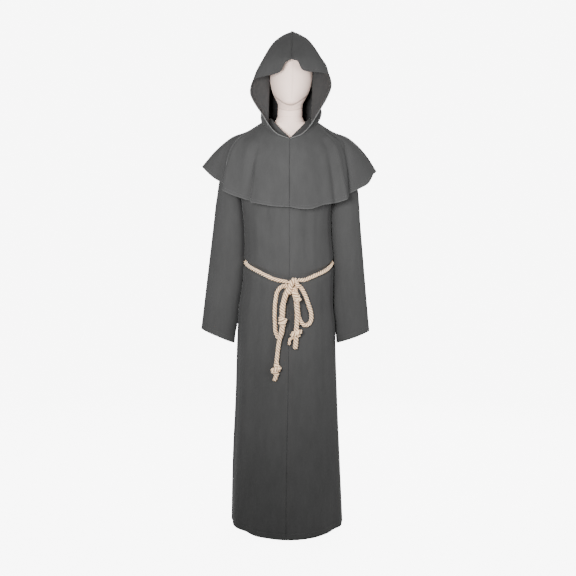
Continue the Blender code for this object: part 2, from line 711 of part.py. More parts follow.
def make_sleeves(felt, rows=7, sides=16):
    """Each sleeve is one piece of cloth, here in two lengths that meet at the elbow."""
    last = len(SLEEVE["left"]["depth"]) - 1
    turn = np.linspace(0, 2 * math.pi, sides, endpoint=False)[None, :]
    for side in ("left", "right"):
        for length, start, end in (("above", 0, ELBOW), ("below", ELBOW + ELBOW_PULL, last)):
            t = np.linspace(start, end, rows)[:, None]
            points = sleeve_surface(side, t + 0 * turn, turn + 0 * t)
            name = f"sleeve_{side}_{length}_elbow"
            cloth(name, [(points, side == "right")], felt, closed=True, flip=True)


def make_cape(felt, rows=9, columns=30):
    v = np.linspace(0, 1, rows)[:, None]
    angle = np.linspace(0, 180, columns + 1)[None, :]
    for side in ("left", "right"):
        points = cape_surface(side, v + 0 * angle, angle + 0 * v)
        cloth("cape_" + side, [(points, side == "right")], felt, flip=True)


def make_hood(felt, rows=19, columns=15):
    last = HOOD_RIBS + 1
    rib = np.linspace(0, last, rows)
    share = np.linspace(0, 1, columns + 1)
    for side in ("left", "right"):
        points = hood_surface(side, rib, share)
        cloth("hood_" + side, [(points, side == "right")], felt)


def make_form(skin, metal, sides=18):
    rings = [
        ring(z, half, front, back, sides, 0)
        for z, half, front, back in zip(*TORSO.values())
    ]
    for i, depth in enumerate(FORM_SHOULDER_DEPTH):
        out, z = SHOULDER["out"][i] - FORM_UNDER_OUT, SHOULDER["z"][i] - FORM_UNDER_Z
        rings.append(ring(z, out, depth, depth, sides, float(middle(z))))
    for z, half, front, back in zip(*FORM_NECK.values()):
        rings.append(ring(z, half, front, back, sides, float(middle(z))))
    lofted("form_torso", rings, skin)
    rings = [
        ring(z, half, front, back, sides, float(middle(z)))
        for z, half, front, back in zip(*HEAD.values())
    ]
    y, z = HEAD_TOP
    lofted("form_head", rings, skin, tip=(float(middle(z)), y, z))

    middle_of_foot = (0, 0, FOOT_H / 2)
    bpy.ops.mesh.primitive_cylinder_add(vertices=32, radius=FOOT_R, depth=FOOT_H, location=middle_of_foot)
    foot = bpy.context.object
    foot.name = "stand_foot"
    edge = foot.modifiers.new("edge", "BEVEL")
    edge.width = FOOT_BEVEL
    edge.segments = 2
    height = TORSO_BOTTOM - FOOT_H - 2 * TOUCH
    bpy.ops.mesh.primitive_cylinder_add(
        vertices=16, radius=POLE_R, depth=height, location=(0, 0, FOOT_H + TOUCH + height / 2)
    )
    pole = bpy.context.object
    pole.name = "stand_pole"
    for obj in (foot, pole):
        obj.data.materials.append(metal)
        for owner in list(obj.users_collection):
            owner.objects.unlink(obj)
        parts.objects.link(obj)


for obj in list(bpy.data.objects):
    bpy.data.objects.remove(obj)
parts = bpy.data.collections.new("monk_robe_costume")
bpy.context.scene.collection.children.link(parts)

GREY = material("grey_felt", (0.075, 0.075, 0.078), 0.9)
ROPE = material("cotton_rope", (0.68, 0.58, 0.45), 0.9)
SKIN = material("form_cover", (0.72, 0.66, 0.60), 0.7)
STEEL = material("stand_steel", (0.06, 0.06, 0.065), 0.4, 0.6)

make_form(SKIN, STEEL)
make_robe(GREY)
make_sleeves(GREY)
make_cape(GREY)
make_hood(GREY)
make_belt(ROPE)
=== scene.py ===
# %% [markdown]
# # A monk's costume on a dress form
#
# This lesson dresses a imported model. The model gives the size and place of every piece: the robe's panels
# and sleeves, the halves of the cape and of the hood, the rope belt, and the limbless form that carries
# them. Here each piece of cloth is worked out again as a fine surface, with its folds, seams, hems and
# stitches, and the rope is laid up from three strands. Nothing is moved: a piece goes exactly where the
# model has it.

import math

import bpy
import numpy as np
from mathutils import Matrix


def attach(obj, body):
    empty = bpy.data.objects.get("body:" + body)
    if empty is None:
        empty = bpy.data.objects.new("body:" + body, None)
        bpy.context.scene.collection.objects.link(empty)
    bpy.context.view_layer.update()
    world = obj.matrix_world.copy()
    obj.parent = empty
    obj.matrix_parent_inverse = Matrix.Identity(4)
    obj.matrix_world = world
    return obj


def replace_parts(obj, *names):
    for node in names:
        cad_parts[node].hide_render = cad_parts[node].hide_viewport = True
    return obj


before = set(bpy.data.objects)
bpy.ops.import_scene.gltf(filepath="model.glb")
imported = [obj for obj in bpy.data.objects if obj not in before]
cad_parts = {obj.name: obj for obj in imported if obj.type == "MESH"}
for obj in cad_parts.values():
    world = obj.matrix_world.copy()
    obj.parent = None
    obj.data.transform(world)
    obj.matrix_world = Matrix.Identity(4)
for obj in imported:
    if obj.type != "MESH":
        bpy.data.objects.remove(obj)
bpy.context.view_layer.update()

# %% [markdown]
# ## The camera
#
# The photograph was taken from in front, from about the height of the chest, with a long lens, which keeps
# the costume from bulging towards the viewer. The lens and distance below make one pixel of a 576 pixel
# picture 3.5 mm wide at the middle of the costume.

# %% Camera
CAMERA_AT = (-0.0035, -3.65, 1.22)
CAMERA_DOWN = math.radians(5.618)  # how far below the horizon it looks
LENS = 65.19  # mm, on a 36 mm sensor


def added(name, data):
    """A new object, linked to the scene."""
    made = bpy.data.objects.new(name, data)
    bpy.context.scene.collection.objects.link(made)
    return made


camera = added("camera", bpy.data.cameras.new("camera"))
camera.data.lens = LENS
camera.data.sensor_width = 36
camera.location = CAMERA_AT
camera.rotation_euler = (math.pi / 2 - CAMERA_DOWN, 0, 0)
bpy.context.scene.camera = camera
print("camera at", CAMERA_AT)

# %% [markdown]
# ## Curves through a few numbers
#
# The costume's sizes are short tables. A smooth curve through a table's rows gives every height between
# them. The cubic Hermite curve is a good one for this: it goes through each row, and its slope there comes
# from the rows above and below, so nothing kinks.

# %% Curves and tables
SIDES = ("right", "left")  # the wearer's


def table(names, *rows):
    """A table as arrays by column name."""
    return dict(zip(names.split(), np.array(rows, float).T))


def bridge(t, step, a, b, slope_a, slope_b):
    """Cubic Hermite curve: a + (b - a)(3 - 2t)tt, bent by the slopes at both ends."""
    return a + (b - a) * (3 - 2 * t) * t * t + step * t * (1 - t) * ((1 - t) * slope_a - t * slope_b)


def stretch(keys, at):
    """Which stretch between two keys each value is in, and how long that stretch is."""
    k = np.clip(np.searchsorted(keys, at, side="right") - 1, 0, len(keys) - 2)
    return k, keys[k + 1] - keys[k]


def curve(keys, values, at):
    """The smooth curve through values at keys."""
    keys, values, at = (np.asarray(given, float) for given in (keys, values, at))
    slopes = np.gradient(values, keys, axis=0)
    k, step = stretch(keys, at)
    t = np.clip((at - keys[k]) / step, 0, 1)
    for _ in values.shape[1:]:
        t, step = t[..., None], step[..., None]
    return bridge(t, step, values[k], values[k + 1], slopes[k], slopes[k + 1])


def read(rows, name, at):
    """The smooth curve through a column of a table, over its first column."""
    return curve(next(iter(rows.values())), rows[name], at)


def hill(x):
    """exp(-xx), 1 at x = 0."""
    return np.exp(-np.square(x))


def bump(x):
    """A narrower hill exp(-1.4 xx), that has run out at x = 2."""
    return np.exp(-1.4 * np.square(x))


def smooth(x):
    """Rises from 0 at x = 0 to 1 at x = 1 with level ends: (3 - 2x)xx."""
    x = np.clip(x, 0, 1)
    return (3 - 2 * x) * x * x


def sign(side):
    return 1 if side == "left" else -1


print("half way up a smooth step:", smooth(0.5))

# %% [markdown]
# ## The robe's shape
#
# A level cut through one quarter of the robe is a quarter ellipse. Its half width comes from the side seam,
# then from the armhole's oval, then from the shoulder line. Its depth comes from a second table. Where the
# rope is tied, the ellipse is drawn in.

# %% The robe's sizes
MIDDLE = table(
    "z x",
    (0.02, -0.011), (0.25, -0.009), (0.55, -0.003), (0.95, 0.001), (1.375, 0.002), (1.75, 0.012),
)
ROBE_WIDTH = table(
    "z right left",
    (0.02, 0.196, 0.203), (0.28, 0.1915, 0.1885), (0.461, 0.186, 0.1765), (0.658, 0.1825, 0.1662),
    (0.735, 0.18, 0.1632), (0.8, 0.1755, 0.1556), (0.875, 0.1645, 0.1556), (0.953, 0.159, 0.1556),
    (1.05, 0.1572, 0.1462), (1.15, 0.1655, 0.147), (1.203, 0.172, 0.154),
)
ROBE_DEPTH = table(
    "z front back",
    (0.02, 0.205, 0.19), (0.28, 0.186, 0.172), (0.461, 0.172, 0.156), (0.658, 0.157, 0.141),
    (0.8, 0.147, 0.13), (0.9, 0.142, 0.124), (1.05, 0.146, 0.124), (1.203, 0.147, 0.13),
    (1.28, 0.139, 0.127), (1.33, 0.126, 0.118), (1.372, 0.102, 0.104), (1.4, 0.083, 0.086),
    (1.452, 0.058, 0.062),
)
SHOULDER = table("z out", (1.379, 0.201), (1.3925, 0.172), (1.4065, 0.1395), (1.4335, 0.098), (1.452, 0.066))
HEM_LIFT, HEM_LIFT_ENDS = {"right": 0.012, "left": 0.0065}, 0.30
NECK_FRONT_Z, NECK_BACK_Z = 1.381, 1.412
BELT = table(
    "angle right left",
    (0, 0.893, 0.893), (20, 0.905, 0.902), (35, 0.92, 0.915), (52, 0.934, 0.927), (62, 0.94, 0.934),
    (72, 0.946, 0.943), (90, 0.954, 0.955), (135, 0.972, 0.972), (180, 0.98, 0.98),
)
BELT_PINCH_FRONT, BELT_PINCH_SIDE = 0.004, 0.013
BELT_PINCH_HALF, BELT_SEAT = 0.015, 0.007
BELT_PUFF = 0.62  # how much more closely the cloth swells round the rope at the sides
SLEEVE_COLUMNS = "outer_x outer_z inner_x inner_z depth"
SLEEVE = {
    "right": table(
        SLEEVE_COLUMNS,
        (0.201, 1.379, 0.172, 1.203, 0.066), (0.227, 1.31, 0.1684, 1.155, 0.056),
        (0.2465, 1.218, 0.1612, 1.09, 0.048), (0.262, 1.09, 0.1602, 1.005, 0.043),
        (0.2785, 0.96, 0.1628, 0.9, 0.04), (0.2935, 0.845, 0.1785, 0.79, 0.037),
        (0.309, 0.718, 0.1905, 0.667, 0.034),
    ),
    "left": table(
        SLEEVE_COLUMNS,
        (0.201, 1.379, 0.154, 1.203, 0.066), (0.223, 1.305, 0.1495, 1.15, 0.056),
        (0.24, 1.2, 0.1482, 1.085, 0.048), (0.25, 1.08, 0.1556, 1, 0.043),
        (0.262, 0.95, 0.1574, 0.895, 0.04), (0.274, 0.83, 0.161, 0.785, 0.037),
        (0.287, 0.71, 0.1685, 0.667, 0.034),
    ),
}
print("robe from", ROBE_DEPTH["z"][0], "to", SHOULDER["z"][-1], "m")


# %% The robe's surface
def middle(z):
    """How far the costume's middle strays sideways at height z."""
    return read(MIDDLE, "x", z)


def spine(points):
    """The costume's middle line at the height of each point."""
    z = points[..., 2]
    return np.stack([middle(z), 0 * z, z], -1)


def body_edge(side, z):
    """Half width of the robe's panels at height z, and half the gap in Y that the armhole makes there."""
    z = np.asarray(z, float)
    ring = {name: column[0] for name, column in SLEEVE[side].items()}
    centre_x, centre_z = (ring["outer_x"] + ring["inner_x"]) / 2, (ring["outer_z"] + ring["inner_z"]) / 2
    lift = np.clip((z - centre_z) / (ring["outer_z"] - centre_z), -1, 1)
    on_armhole = centre_x + (ring["outer_x"] - centre_x) * lift
    above = np.where(z < ring["outer_z"], on_armhole, read(SHOULDER, "out", z))
    out = np.where(z <= ring["inner_z"], read(ROBE_WIDTH, side, z), above)
    return out, ring["depth"] * np.sqrt(1 - lift**2)


def belt_height(side, angle):
    return read(BELT, side, angle)


def robe_surface(side, face, z, phi):
    """x = out sin(phi), y = open + (depth - open) cos(phi), with phi 0 at the middle and pi/2 at the edge."""
    forward = -1 if face == "front" else 1
    out, open_y = body_edge(side, z)
    depth = read(ROBE_DEPTH, face, z)
    angle = np.degrees(phi) if face == "front" else 180 - np.degrees(phi)
    beyond = np.maximum(np.abs(z - belt_height(side, angle)) - BELT_SEAT, 0)
    near = bump(beyond / (BELT_PINCH_HALF * (1 - BELT_PUFF * np.sin(phi) ** 2)))
    out, depth = out - BELT_PINCH_SIDE * near, depth - BELT_PINCH_FRONT * near
    x, y = out * np.sin(phi), open_y + (depth - open_y) * np.cos(phi)
    lift = HEM_LIFT[side] * np.clip(1 - z / HEM_LIFT_ENDS, 0, 1) * np.sin(phi) ** 2
    return np.stack([middle(z) + sign(side) * x, forward * y, z + lift], -1)


def neck_angle(side, face, z):
    """The angle phi where the row at height z leaves the neckline, 0 below it and pi/2 at its top."""
    start = NECK_FRONT_Z if face == "front" else NECK_BACK_Z
    top = SHOULDER["z"][-1]
    half = SHOULDER["out"][-1] * (1 - np.clip((top - z) / (top - start), 0, 1) ** 1.1)
    return np.arcsin(np.clip(half / body_edge(side, z)[0], 0, 1))


front_of_chest = robe_surface("left", "front", 1.1, np.array(0.0))
print("front of the chest:", np.round(front_of_chest, 3))

# %% [markdown]
# ## The rope's route
#
# The belt is one length of three-strand cotton rope, 12.6 mm thick, tied in a bow. Its stretches are routes
# through a few points: round the waist, two loops, and two ends that each carry overhand knots. A route is
# made even, so that the strands turn at one pace all along it.

# %% The rope's sizes and points
ROPE_R, ROPE_STEP = 0.0063, 0.0018
TOUCH, WAIST_CLEAR = 0.0003, 0.0007
WAIST_FROM, WAIST_STEP = 20, 10  # degrees from the middle of the front
BOW_AT, BOW_HALF = (0.010, -0.1550, 0.893), 0.0165
KNOTS = {
    "knot_right_middle": (-0.0225, -0.1738, 0.766),
    "knot_right_end": (-0.043, -0.1738, 0.603),
    "knot_left_middle": (0.024, -0.174, 0.849),
    "knot_left_end": (0.024, -0.166, 0.719),
}
# Degrees round the bow's knot, and how far forward each stretch leaves it.
BOW_EXITS = {
    "waist_right": (170, -18),
    "waist_left": (22, -30),
    "loop_right_out": (205, 0),
    "loop_right_back": (238, -20),
    "end_right": (241, 25),
    "loop_left_out": (338, 0),
    "loop_left_back": (300, -20),
    "end_left": (288, 19),
}
LOOPS = {
    "right": (
        (-0.022, -0.1515, 0.881), (-0.0375, -0.1475, 0.866), (-0.045, -0.1475, 0.835),
        (-0.048, -0.15, 0.79), (-0.047, -0.152, 0.755), (-0.0435, -0.1548, 0.722),
        (-0.0345, -0.1585, 0.706), (-0.0255, -0.1588, 0.718), (-0.022, -0.1568, 0.745),
        (-0.02, -0.1545, 0.79), (-0.0165, -0.152, 0.835), (-0.0075, -0.1507, 0.865),
    ),
    "left": (
        (0.039, -0.15, 0.878), (0.05, -0.1455, 0.86), (0.0655, -0.142, 0.82), (0.075, -0.1405, 0.786),
        (0.0745, -0.1412, 0.766), (0.067, -0.1448, 0.753), (0.055, -0.1495, 0.749),
        (0.0425, -0.1528, 0.758), (0.033, -0.1532, 0.78), (0.0295, -0.152, 0.815), (0.027, -0.151, 0.845),
        (0.0225, -0.1507, 0.864),
    ),
}
ENDS_UPPER = {
    "right": (
        (-0.006, -0.1665, 0.864), (-0.017, -0.1672, 0.835), (-0.0225, -0.17, 0.805),
        (-0.0225, -0.1738, 0.7848),
    ),
    "left": ((0.0184, -0.1668, 0.8672),),
}
ENDS_LOWER = {
    "right": (
        (-0.0225, -0.1738, 0.7472), (-0.025, -0.1742, 0.73), (-0.031, -0.1728, 0.705),
        (-0.0355, -0.171, 0.682), (-0.0395, -0.1695, 0.65), (-0.043, -0.1735, 0.6223),
    ),
    "left": (
        (0.0245, -0.1738, 0.8289), (0.0275, -0.171, 0.8), (0.027, -0.169, 0.765),
        (0.0245, -0.1662, 0.7348),
    ),
}
TAILS = {
    "tail_right": ((-0.0432, -0.1738, 0.583), (-0.0445, -0.1735, 0.576), (-0.0505, -0.1715, 0.562)),
    "tail_left": ((0.0235, -0.166, 0.7032), (0.0225, -0.165, 0.687), (0.021, -0.1645, 0.669)),
    "tail_left_side": ((0.0085, -0.166, 0.7082), (0.0045, -0.1658, 0.7042), (0.0002, -0.1652, 0.683)),
}


# %% Routes
def run_of(points):
    """How far along a line each of its points is."""
    return np.append(0, np.cumsum(np.linalg.norm(np.diff(points, axis=0), axis=1)))


def picked(at, run, points):
    """The points at some distances along a line, straight between its own points."""
    return np.stack([np.interp(at, run, column) for column in points.T], -1)


def even(points):
    """Evenly spaced points along the smooth curve through the given ones."""
    keys = run_of(points)
    fine = curve(keys, points, np.linspace(0, keys[-1], 40 * len(points)))
    run = run_of(fine)
    return picked(np.linspace(0, run[-1], max(3, round(run[-1] / ROPE_STEP) + 1)), run, fine)


def length_of(points):
    return round(float(run_of(points)[-1]), 3)


def from_bow(name):
    """The first two points of a stretch of rope, which leaves the bow's knot square to its face."""
    turn, forward = (math.radians(a) for a in BOW_EXITS[name])
    level = math.cos(forward)
    away = np.array((math.cos(turn) * level, -math.sin(forward), math.sin(turn) * level))
    return [np.array(BOW_AT) + (BOW_HALF + d) * away for d in (TOUCH, ROPE_R)]


def waist_route():
    """The belt round the body: the robe's surface at the belt's height, moved out by the rope's radius."""
    points = from_bow("waist_right")
    angles = range(WAIST_FROM, 181, WAIST_STEP)
    for side, run in (("right", angles), ("left", angles[-2::-1])):
        for angle in run:
            face, forward = ("front", -1) if angle <= 90 else ("back", 1)
            phi = math.radians(angle if face == "front" else 180 - angle)
            z = belt_height(side, angle)
            out = float(body_edge(side, z)[0]) - BELT_PINCH_SIDE
            depth = float(read(ROBE_DEPTH, face, z))
            away = np.array([sign(side) * math.sin(phi) / out, forward * math.cos(phi) / depth, 0])
            away *= (ROPE_R + WAIST_CLEAR) / np.linalg.norm(away)
            points.append(robe_surface(side, face, z, np.array(phi)) + away)
    return points + from_bow("waist_left")[::-1]


print("belt round the waist:", length_of(waist_route()), "m")

# %% [markdown]
# ## Sleeves, cape and hood
#
# A sleeve is a tube of tilted ovals from the armhole to the cuff. The cape's two halves fall from a ring
# round the neck, and flutes grow towards their hem, because a cape is cut wider below than the shoulders
# that carry it. The hood's two halves are ribs that rise from the same ring and meet at the centre seam.

# %% Sizes of the cape and hood
CAPE = table(
    "angle neck_r neck_z collar_r collar_z shoulder_r shoulder_z drop_r drop_z hem_r hem_z",
    (0, 0.125, 1.375, 0.134, 1.345, 0.147, 1.29, 0.162, 1.22, 0.176, 1.148),
    (30, 0.118, 1.395, 0.133, 1.368, 0.156, 1.31, 0.176, 1.237, 0.19, 1.156),
    (60, 0.105, 1.429, 0.136, 1.401, 0.185, 1.353, 0.207, 1.271, 0.22, 1.182),
    (75, 0.1005, 1.4355, 0.1395, 1.4085, 0.197, 1.377, 0.236, 1.315, 0.254, 1.224),
    (90, 0.0993, 1.4365, 0.1405, 1.4095, 0.203, 1.3832, 0.262, 1.334, 0.306, 1.28),
    (105, 0.1005, 1.4365, 0.1395, 1.4095, 0.198, 1.379, 0.244, 1.317, 0.27, 1.234),
    (120, 0.103, 1.435, 0.137, 1.403, 0.186, 1.352, 0.215, 1.275, 0.232, 1.192),
    (150, 0.109, 1.433, 0.137, 1.388, 0.166, 1.318, 0.188, 1.242, 0.204, 1.161),
    (180, 0.112, 1.431, 0.138, 1.381, 0.161, 1.308, 0.18, 1.229, 0.192, 1.15),
)
CAPE_STATIONS = np.array([0, 0.16, 0.45, 0.74, 1.0])  # how far down a meridian its five points lie
CAPE_FLUTES = {
    "right": table(
        "angle half_width out",
        (9, 6, -0.004), (32, 12, 0.004), (51, 7, -0.013), (64, 6, 0.012), (74, 5, -0.012),
        (106, 7, -0.014), (128, 9, 0.01), (152, 10, -0.009),
    ),
    "left": table(
        "angle half_width out",
        (14, 9, 0.004), (37, 9, -0.005), (57, 7, 0.005), (68, 5, -0.006), (78, 5, 0.012), (88, 4, -0.007),
        (103, 7, -0.013), (124, 9, 0.009), (147, 11, -0.01),
    ),
}
FLUTE_STARTS = 0.30
CAPE_HEM_RISE = table(
    "angle right left",
    (0, 0, 0), (20, 0, -0.011), (40, 0.003, -0.004), (60, 0.006, -0.008), (75, 0.005, -0.01),
    (90, 0.006, -0.012), (110, 0, -0.006), (180, 0, 0),
)
HOOD = table(
    "out0 y0 z0 out1 y1 z1 out2 y2 z2 out3 y3 z3 y4 z4",
    (0.04, -0.121, 1.389, 0.083, -0.07, 1.43, 0.102, 0, 1.456, 0.074, 0.078, 1.46, 0.114, 1.455),
    (0.067, -0.115, 1.415, 0.09, -0.06, 1.45, 0.1, 0.005, 1.475, 0.074, 0.078, 1.485, 0.117, 1.485),
    (0.094, -0.108, 1.456, 0.09, -0.055, 1.477, 0.09, 0.01, 1.502, 0.07, 0.078, 1.515, 0.12, 1.52),
    (0.126, -0.103, 1.508, 0.099, -0.052, 1.521, 0.078, 0.015, 1.542, 0.067, 0.08, 1.558, 0.125, 1.565),
    (0.138, -0.1, 1.544, 0.109, -0.05, 1.561, 0.081, 0.015, 1.582, 0.067, 0.08, 1.601, 0.129, 1.613),
    (0.128, -0.112, 1.579, 0.118, -0.078, 1.608, 0.094, -0.01, 1.64, 0.069, 0.066, 1.662, 0.124, 1.672),
    (0.112, -0.119, 1.585, 0.105, -0.095, 1.63, 0.083, -0.038, 1.676, 0.056, 0.034, 1.708, 0.088, 1.719),
    (0.088, -0.126, 1.589, 0.086, -0.107, 1.641, 0.066, -0.056, 1.698, 0.038, -0.006, 1.729, 0.026, 1.744),
    (0.06, -0.131, 1.592, 0.066, -0.117, 1.641, 0.05, -0.078, 1.696, 0.026, -0.045, 1.725, -0.024, 1.743),
    (0.036, -0.134, 1.601, 0.042, -0.125, 1.639, 0.032, -0.104, 1.675, 0.016, -0.086, 1.699, -0.074, 1.713),
    (0.022, -0.136, 1.627, 0.024, -0.131, 1.644, 0.018, -0.121, 1.659, 0.009, -0.112, 1.67, -0.107, 1.677),
)
HOOD_RIBS = len(HOOD["out0"])
HOOD_PEAK = (0, -0.137, 1.6380)
HOOD_TILT = table("z rise", (1.43, 0), (1.53, 0.07), (1.62, 0.07), (1.70, 0), (1.76, 0))
HOOD_SLACK = {"right": 0.0, "left": 0.012}
HOOD_SLACK_Y, HOOD_SLACK_Z = 0.030, 1.472
HOOD_SLACK_DEEP, HOOD_SLACK_HIGH = 0.060, 0.036
HOOD_FOLD = table("z y", (1.40, -0.088), (1.45, -0.068), (1.50, -0.045), (1.55, -0.020), (1.62, 0.000))
FOLD_OUT = 0.0738  # where the hood hangs against the sides of the head
FOLD_FORWARD, FOLD_BACK = 0.97, 0.90  # how fast it leaves the fold, towards the brim and towards the back
FOLD_LOW, FOLD_LOW_FADE, FOLD_HIGH, FOLD_HIGH_FADE, FOLD_SHARE = 1.395, 0.03, 1.640, 0.04, 0.12
FREE_RIB = 0.6  # below this rib the hood is held by the cape's neck seam
print("hood of", HOOD_RIBS, "ribs, cape of", len(CAPE["angle"]), "meridians a half")


# %% Surfaces of the sleeves, cape and hood
def sleeve_surface(side, t, angle):
    """Ring t is the oval middle + half (cos a, sin a) between its outer and its inner point."""
    at = {name: curve(np.arange(len(column)), column, t) for name, column in SLEEVE[side].items()}
    x, z = (
        (at["outer_" + c] + at["inner_" + c]) / 2 + (at["outer_" + c] - at["inner_" + c]) / 2 * np.cos(angle)
        for c in "xz"
    )
    return np.stack([middle(z) + sign(side) * x, at["depth"] * np.sin(angle), z], -1)


def between(stations, values, at):
    """The smooth curve through values at stations, where the values themselves change over the grid."""
    at = np.broadcast_to(at, np.broadcast(at, values[0]).shape)
    slopes = np.gradient(values, stations, axis=0)
    k, step = stretch(stations, at)
    ends = [
        np.take_along_axis(np.broadcast_to(grid, (len(stations), *at.shape)), row[None], 0)[0]
        for grid in (values, slopes)
        for row in (k, k + 1)
    ]
    return bridge((at - stations[k]) / step, step, *ends)


def cape_surface(side, v, angle):
    """(r sin a, -r cos a, z): r and z go down a meridian from the neck ring, and flutes bend r in and out."""
    radius, height = (
        between(CAPE_STATIONS, np.stack([read(CAPE, name, angle) for name in CAPE if name.endswith(tail)]), v)
        for tail in ("_r", "_z")
    )
    hanging = np.clip((v - CAPE_STATIONS[2]) / (1 - CAPE_STATIONS[2]), 0, 1)
    height = height + read(CAPE_HEM_RISE, side, angle) * hanging**2
    grown = np.clip((v - FLUTE_STARTS) / (1 - FLUTE_STARTS), 0, 1) ** 1.5
    for at, width, out in zip(*CAPE_FLUTES[side].values()):
        radius = radius + out * grown * bump((angle - at) / width)
    turn = np.radians(angle)
    return np.stack([middle(height) + sign(side) * radius * np.sin(turn), -radius * np.cos(turn), height], -1)


def hood_surface(side, rib, share):
    """Curves through the ribs: rib numbers from the neck seam up, shares from the front edge to the seam."""
    fine = np.linspace(0, 1, 201)
    turn = np.pi * fine
    r, z = (read(CAPE, name, 180 * fine) for name in ("neck_r", "neck_z"))
    along = [np.stack([r * np.sin(turn), -r * np.cos(turn), z], -1)]
    for row in range(HOOD_RIBS):
        out = [HOOD[f"out{i}"][row] for i in range(4)] + [0]
        y, z = ([HOOD[f"{name}{i}"][row] for i in range(5)] for name in "yz")
        along.append(curve(np.linspace(0, 1, 5), np.stack([out, y, z], -1), fine))
    ribs = np.array([*along, np.tile(HOOD_PEAK, (len(fine), 1))])
    spot = share * (len(fine) - 1)
    low = np.clip(spot.astype(int), 0, len(fine) - 2)
    part = spot - low
    out, y, z = (
        between(np.arange(len(ribs)), axis[:, low] * (1 - part) + axis[:, low + 1] * part, rib)
        for axis in np.moveaxis(ribs, -1, 0)
    )
    out, free = np.maximum(out, 0), smooth(rib / FREE_RIB)
    loose = bump((y - HOOD_SLACK_Y) / HOOD_SLACK_DEEP) * bump((z - HOOD_SLACK_Z) / HOOD_SLACK_HIGH)
    out = out + HOOD_SLACK[side] * loose * np.minimum(out / HOOD_SLACK_DEEP, 1) * free
    away = y - np.interp(z, HOOD_FOLD["z"], HOOD_FOLD["y"])
    drawn = np.minimum(out, FOLD_OUT + np.maximum(-FOLD_FORWARD * away, FOLD_BACK * away))
    held = smooth((z - FOLD_LOW) / FOLD_LOW_FADE) * smooth((FOLD_HIGH - z) / FOLD_HIGH_FADE)
    held = held * smooth(share / FOLD_SHARE) * free
    out = out + (drawn - out) * held
    z = z + np.interp(z, HOOD_TILT["z"], HOOD_TILT["rise"]) * sign(side) * out * free
    return np.stack([middle(z) + sign(side) * out, y, z], -1)


print("cape's front hem:", np.round(cape_surface("left", np.array(1.0), np.array(0.0)), 3))

# %% [markdown]
# ## Edges of sewn cloth
#
# Cloth never just stops. At a seam both pieces turn inwards and are sewn together inside, so the seam shows
# as a fine furrow. At a hem the cloth is turned under and stitched, so the edge is a round fold, and a
# shallow furrow runs where the thread pulls. Each direction of a grid gets a plan: how far along each row
# lies, and how far it drops below the surface. The same plan works for every piece.

# %% Plans for seams and hems
CLOTH = 0.0014  # a fine felted polyester
TURN = 0.0016  # radius in which it turns under
TUCK = 0.0030  # how deep a seam's turned edge is followed
THREAD_PULL, PULL_HALF, FURROW_HALF = 0.0006, 0.0012, 0.0022  # the furrow along a line of stitches
BELOW_STITCHES = 0.004  # where a hem's even face ends


def seam(turn=TURN, tuck=TUCK):
    """A quarter circle down into the seam: distance turn (1 - sin a), drop turn (1 - cos a)."""
    a = np.linspace(math.pi / 2, 0, 5)
    return np.append(0, turn * (1 - np.sin(a))), np.append(-tuck, -turn * (1 - np.cos(a)))


def hem(width):
    """The flap behind, a half circle round the edge, then the face up to just past the stitches."""
    a = np.linspace(0, math.pi, 7)
    flap, face = np.linspace(width, TURN, 4)[:-1], np.linspace(TURN, width - BELOW_STITCHES, 3)[1:]
    furrow = width + FURROW_HALF * np.array((-1, -0.5, 0, 0.5, 1))
    pull = -THREAD_PULL * bump((furrow - width) / PULL_HALF)
    distance = np.concatenate([flap, TURN * (1 - np.sin(a)), face, furrow])
    return distance, np.concatenate([0 * flap - 2 * TURN, -TURN * (1 + np.cos(a)), 0 * face, pull])


def plain():
    return np.zeros(1), np.zeros(1)


def plan(length, first, last, *steps):
    """Shares and drops of one direction: its first edge, rows at the given steps, and its last edge."""
    (d0, drop0), (d1, drop1) = first, last
    start, stop = d0.max(), length - d1.max()
    inner, at = [], start
    for limit, step in steps:
        limit = min(limit, stop)
        count = max(1, round((limit - at) / step)) if limit > at else 0
        inner += list(at + (limit - at) * np.arange(1, count + 1) / max(count, 1))
        at = max(at, limit)
    inner = np.array(inner[:-1])
    share = np.concatenate([d0, inner, (length - d1)[::-1]]) / length
    return share, np.concatenate([drop0, 0 * inner, drop1[::-1]])


print("a hem's plan has", len(hem(0.02)[0]), "rows, a seam's", len(seam()[0]))

# %% [markdown]
# ## Creases
#
# Felt is stiff and this costume is nearly new, so its folds are few, wide and soft. Each is a ridge or a
# valley along a line, drawn on the piece: where it starts and ends, how wide it is there, and how
# far it stands out. A little of a seeded ripple breaks up what is left, so that no stretch is as even as a
# sheet of metal.


# %% Creases and ripples
def creases(a, b, lines):
    """Sum of height hill(distance / width) over lines a0, b0, width0, height0, a1, b1, width1, height1."""
    total = 0 * (a + b)
    for a0, b0, width0, height0, a1, b1, width1, height1 in lines:
        da, db = a1 - a0, b1 - b0
        t = np.clip(((a - a0) * da + (b - b0) * db) / (da * da + db * db), 0, 1)
        off = np.hypot(a - a0 - t * da, b - b0 - t * db) / (width0 + (width1 - width0) * t)
        total = total + (height0 + (height1 - height0) * t) * hill(off)
    return total


def ripple(a, b, number, across, along, count=7):
    """Mean of waves sin(2 pi (a / across + b / along) + phase) with seeded lengths and phases."""
    draw = np.random.default_rng(number)
    total = 0 * (a + b)
    for _ in range(count):
        wave_a = across * draw.uniform(0.6, 1.7) * draw.choice((-1, 1))
        wave_b = along * draw.uniform(0.6, 1.7)
        total = total + np.sin(2 * math.pi * (a / wave_a + b / wave_b) + draw.uniform(0, 2 * math.pi))
    return total / math.sqrt(count)


def seed(first, side, face="front"):
    """A seed of its own for each side and face of a kind of piece."""
    return first + (side == "left") + 4 * (face == "back")


def off_seams(arc, whole, first=0.02, last=0.02):
    """0 at the seams at both ends of an arc, 1 further from them."""
    return smooth((arc - TURN) / first) * smooth((whole - TURN - arc) / last)


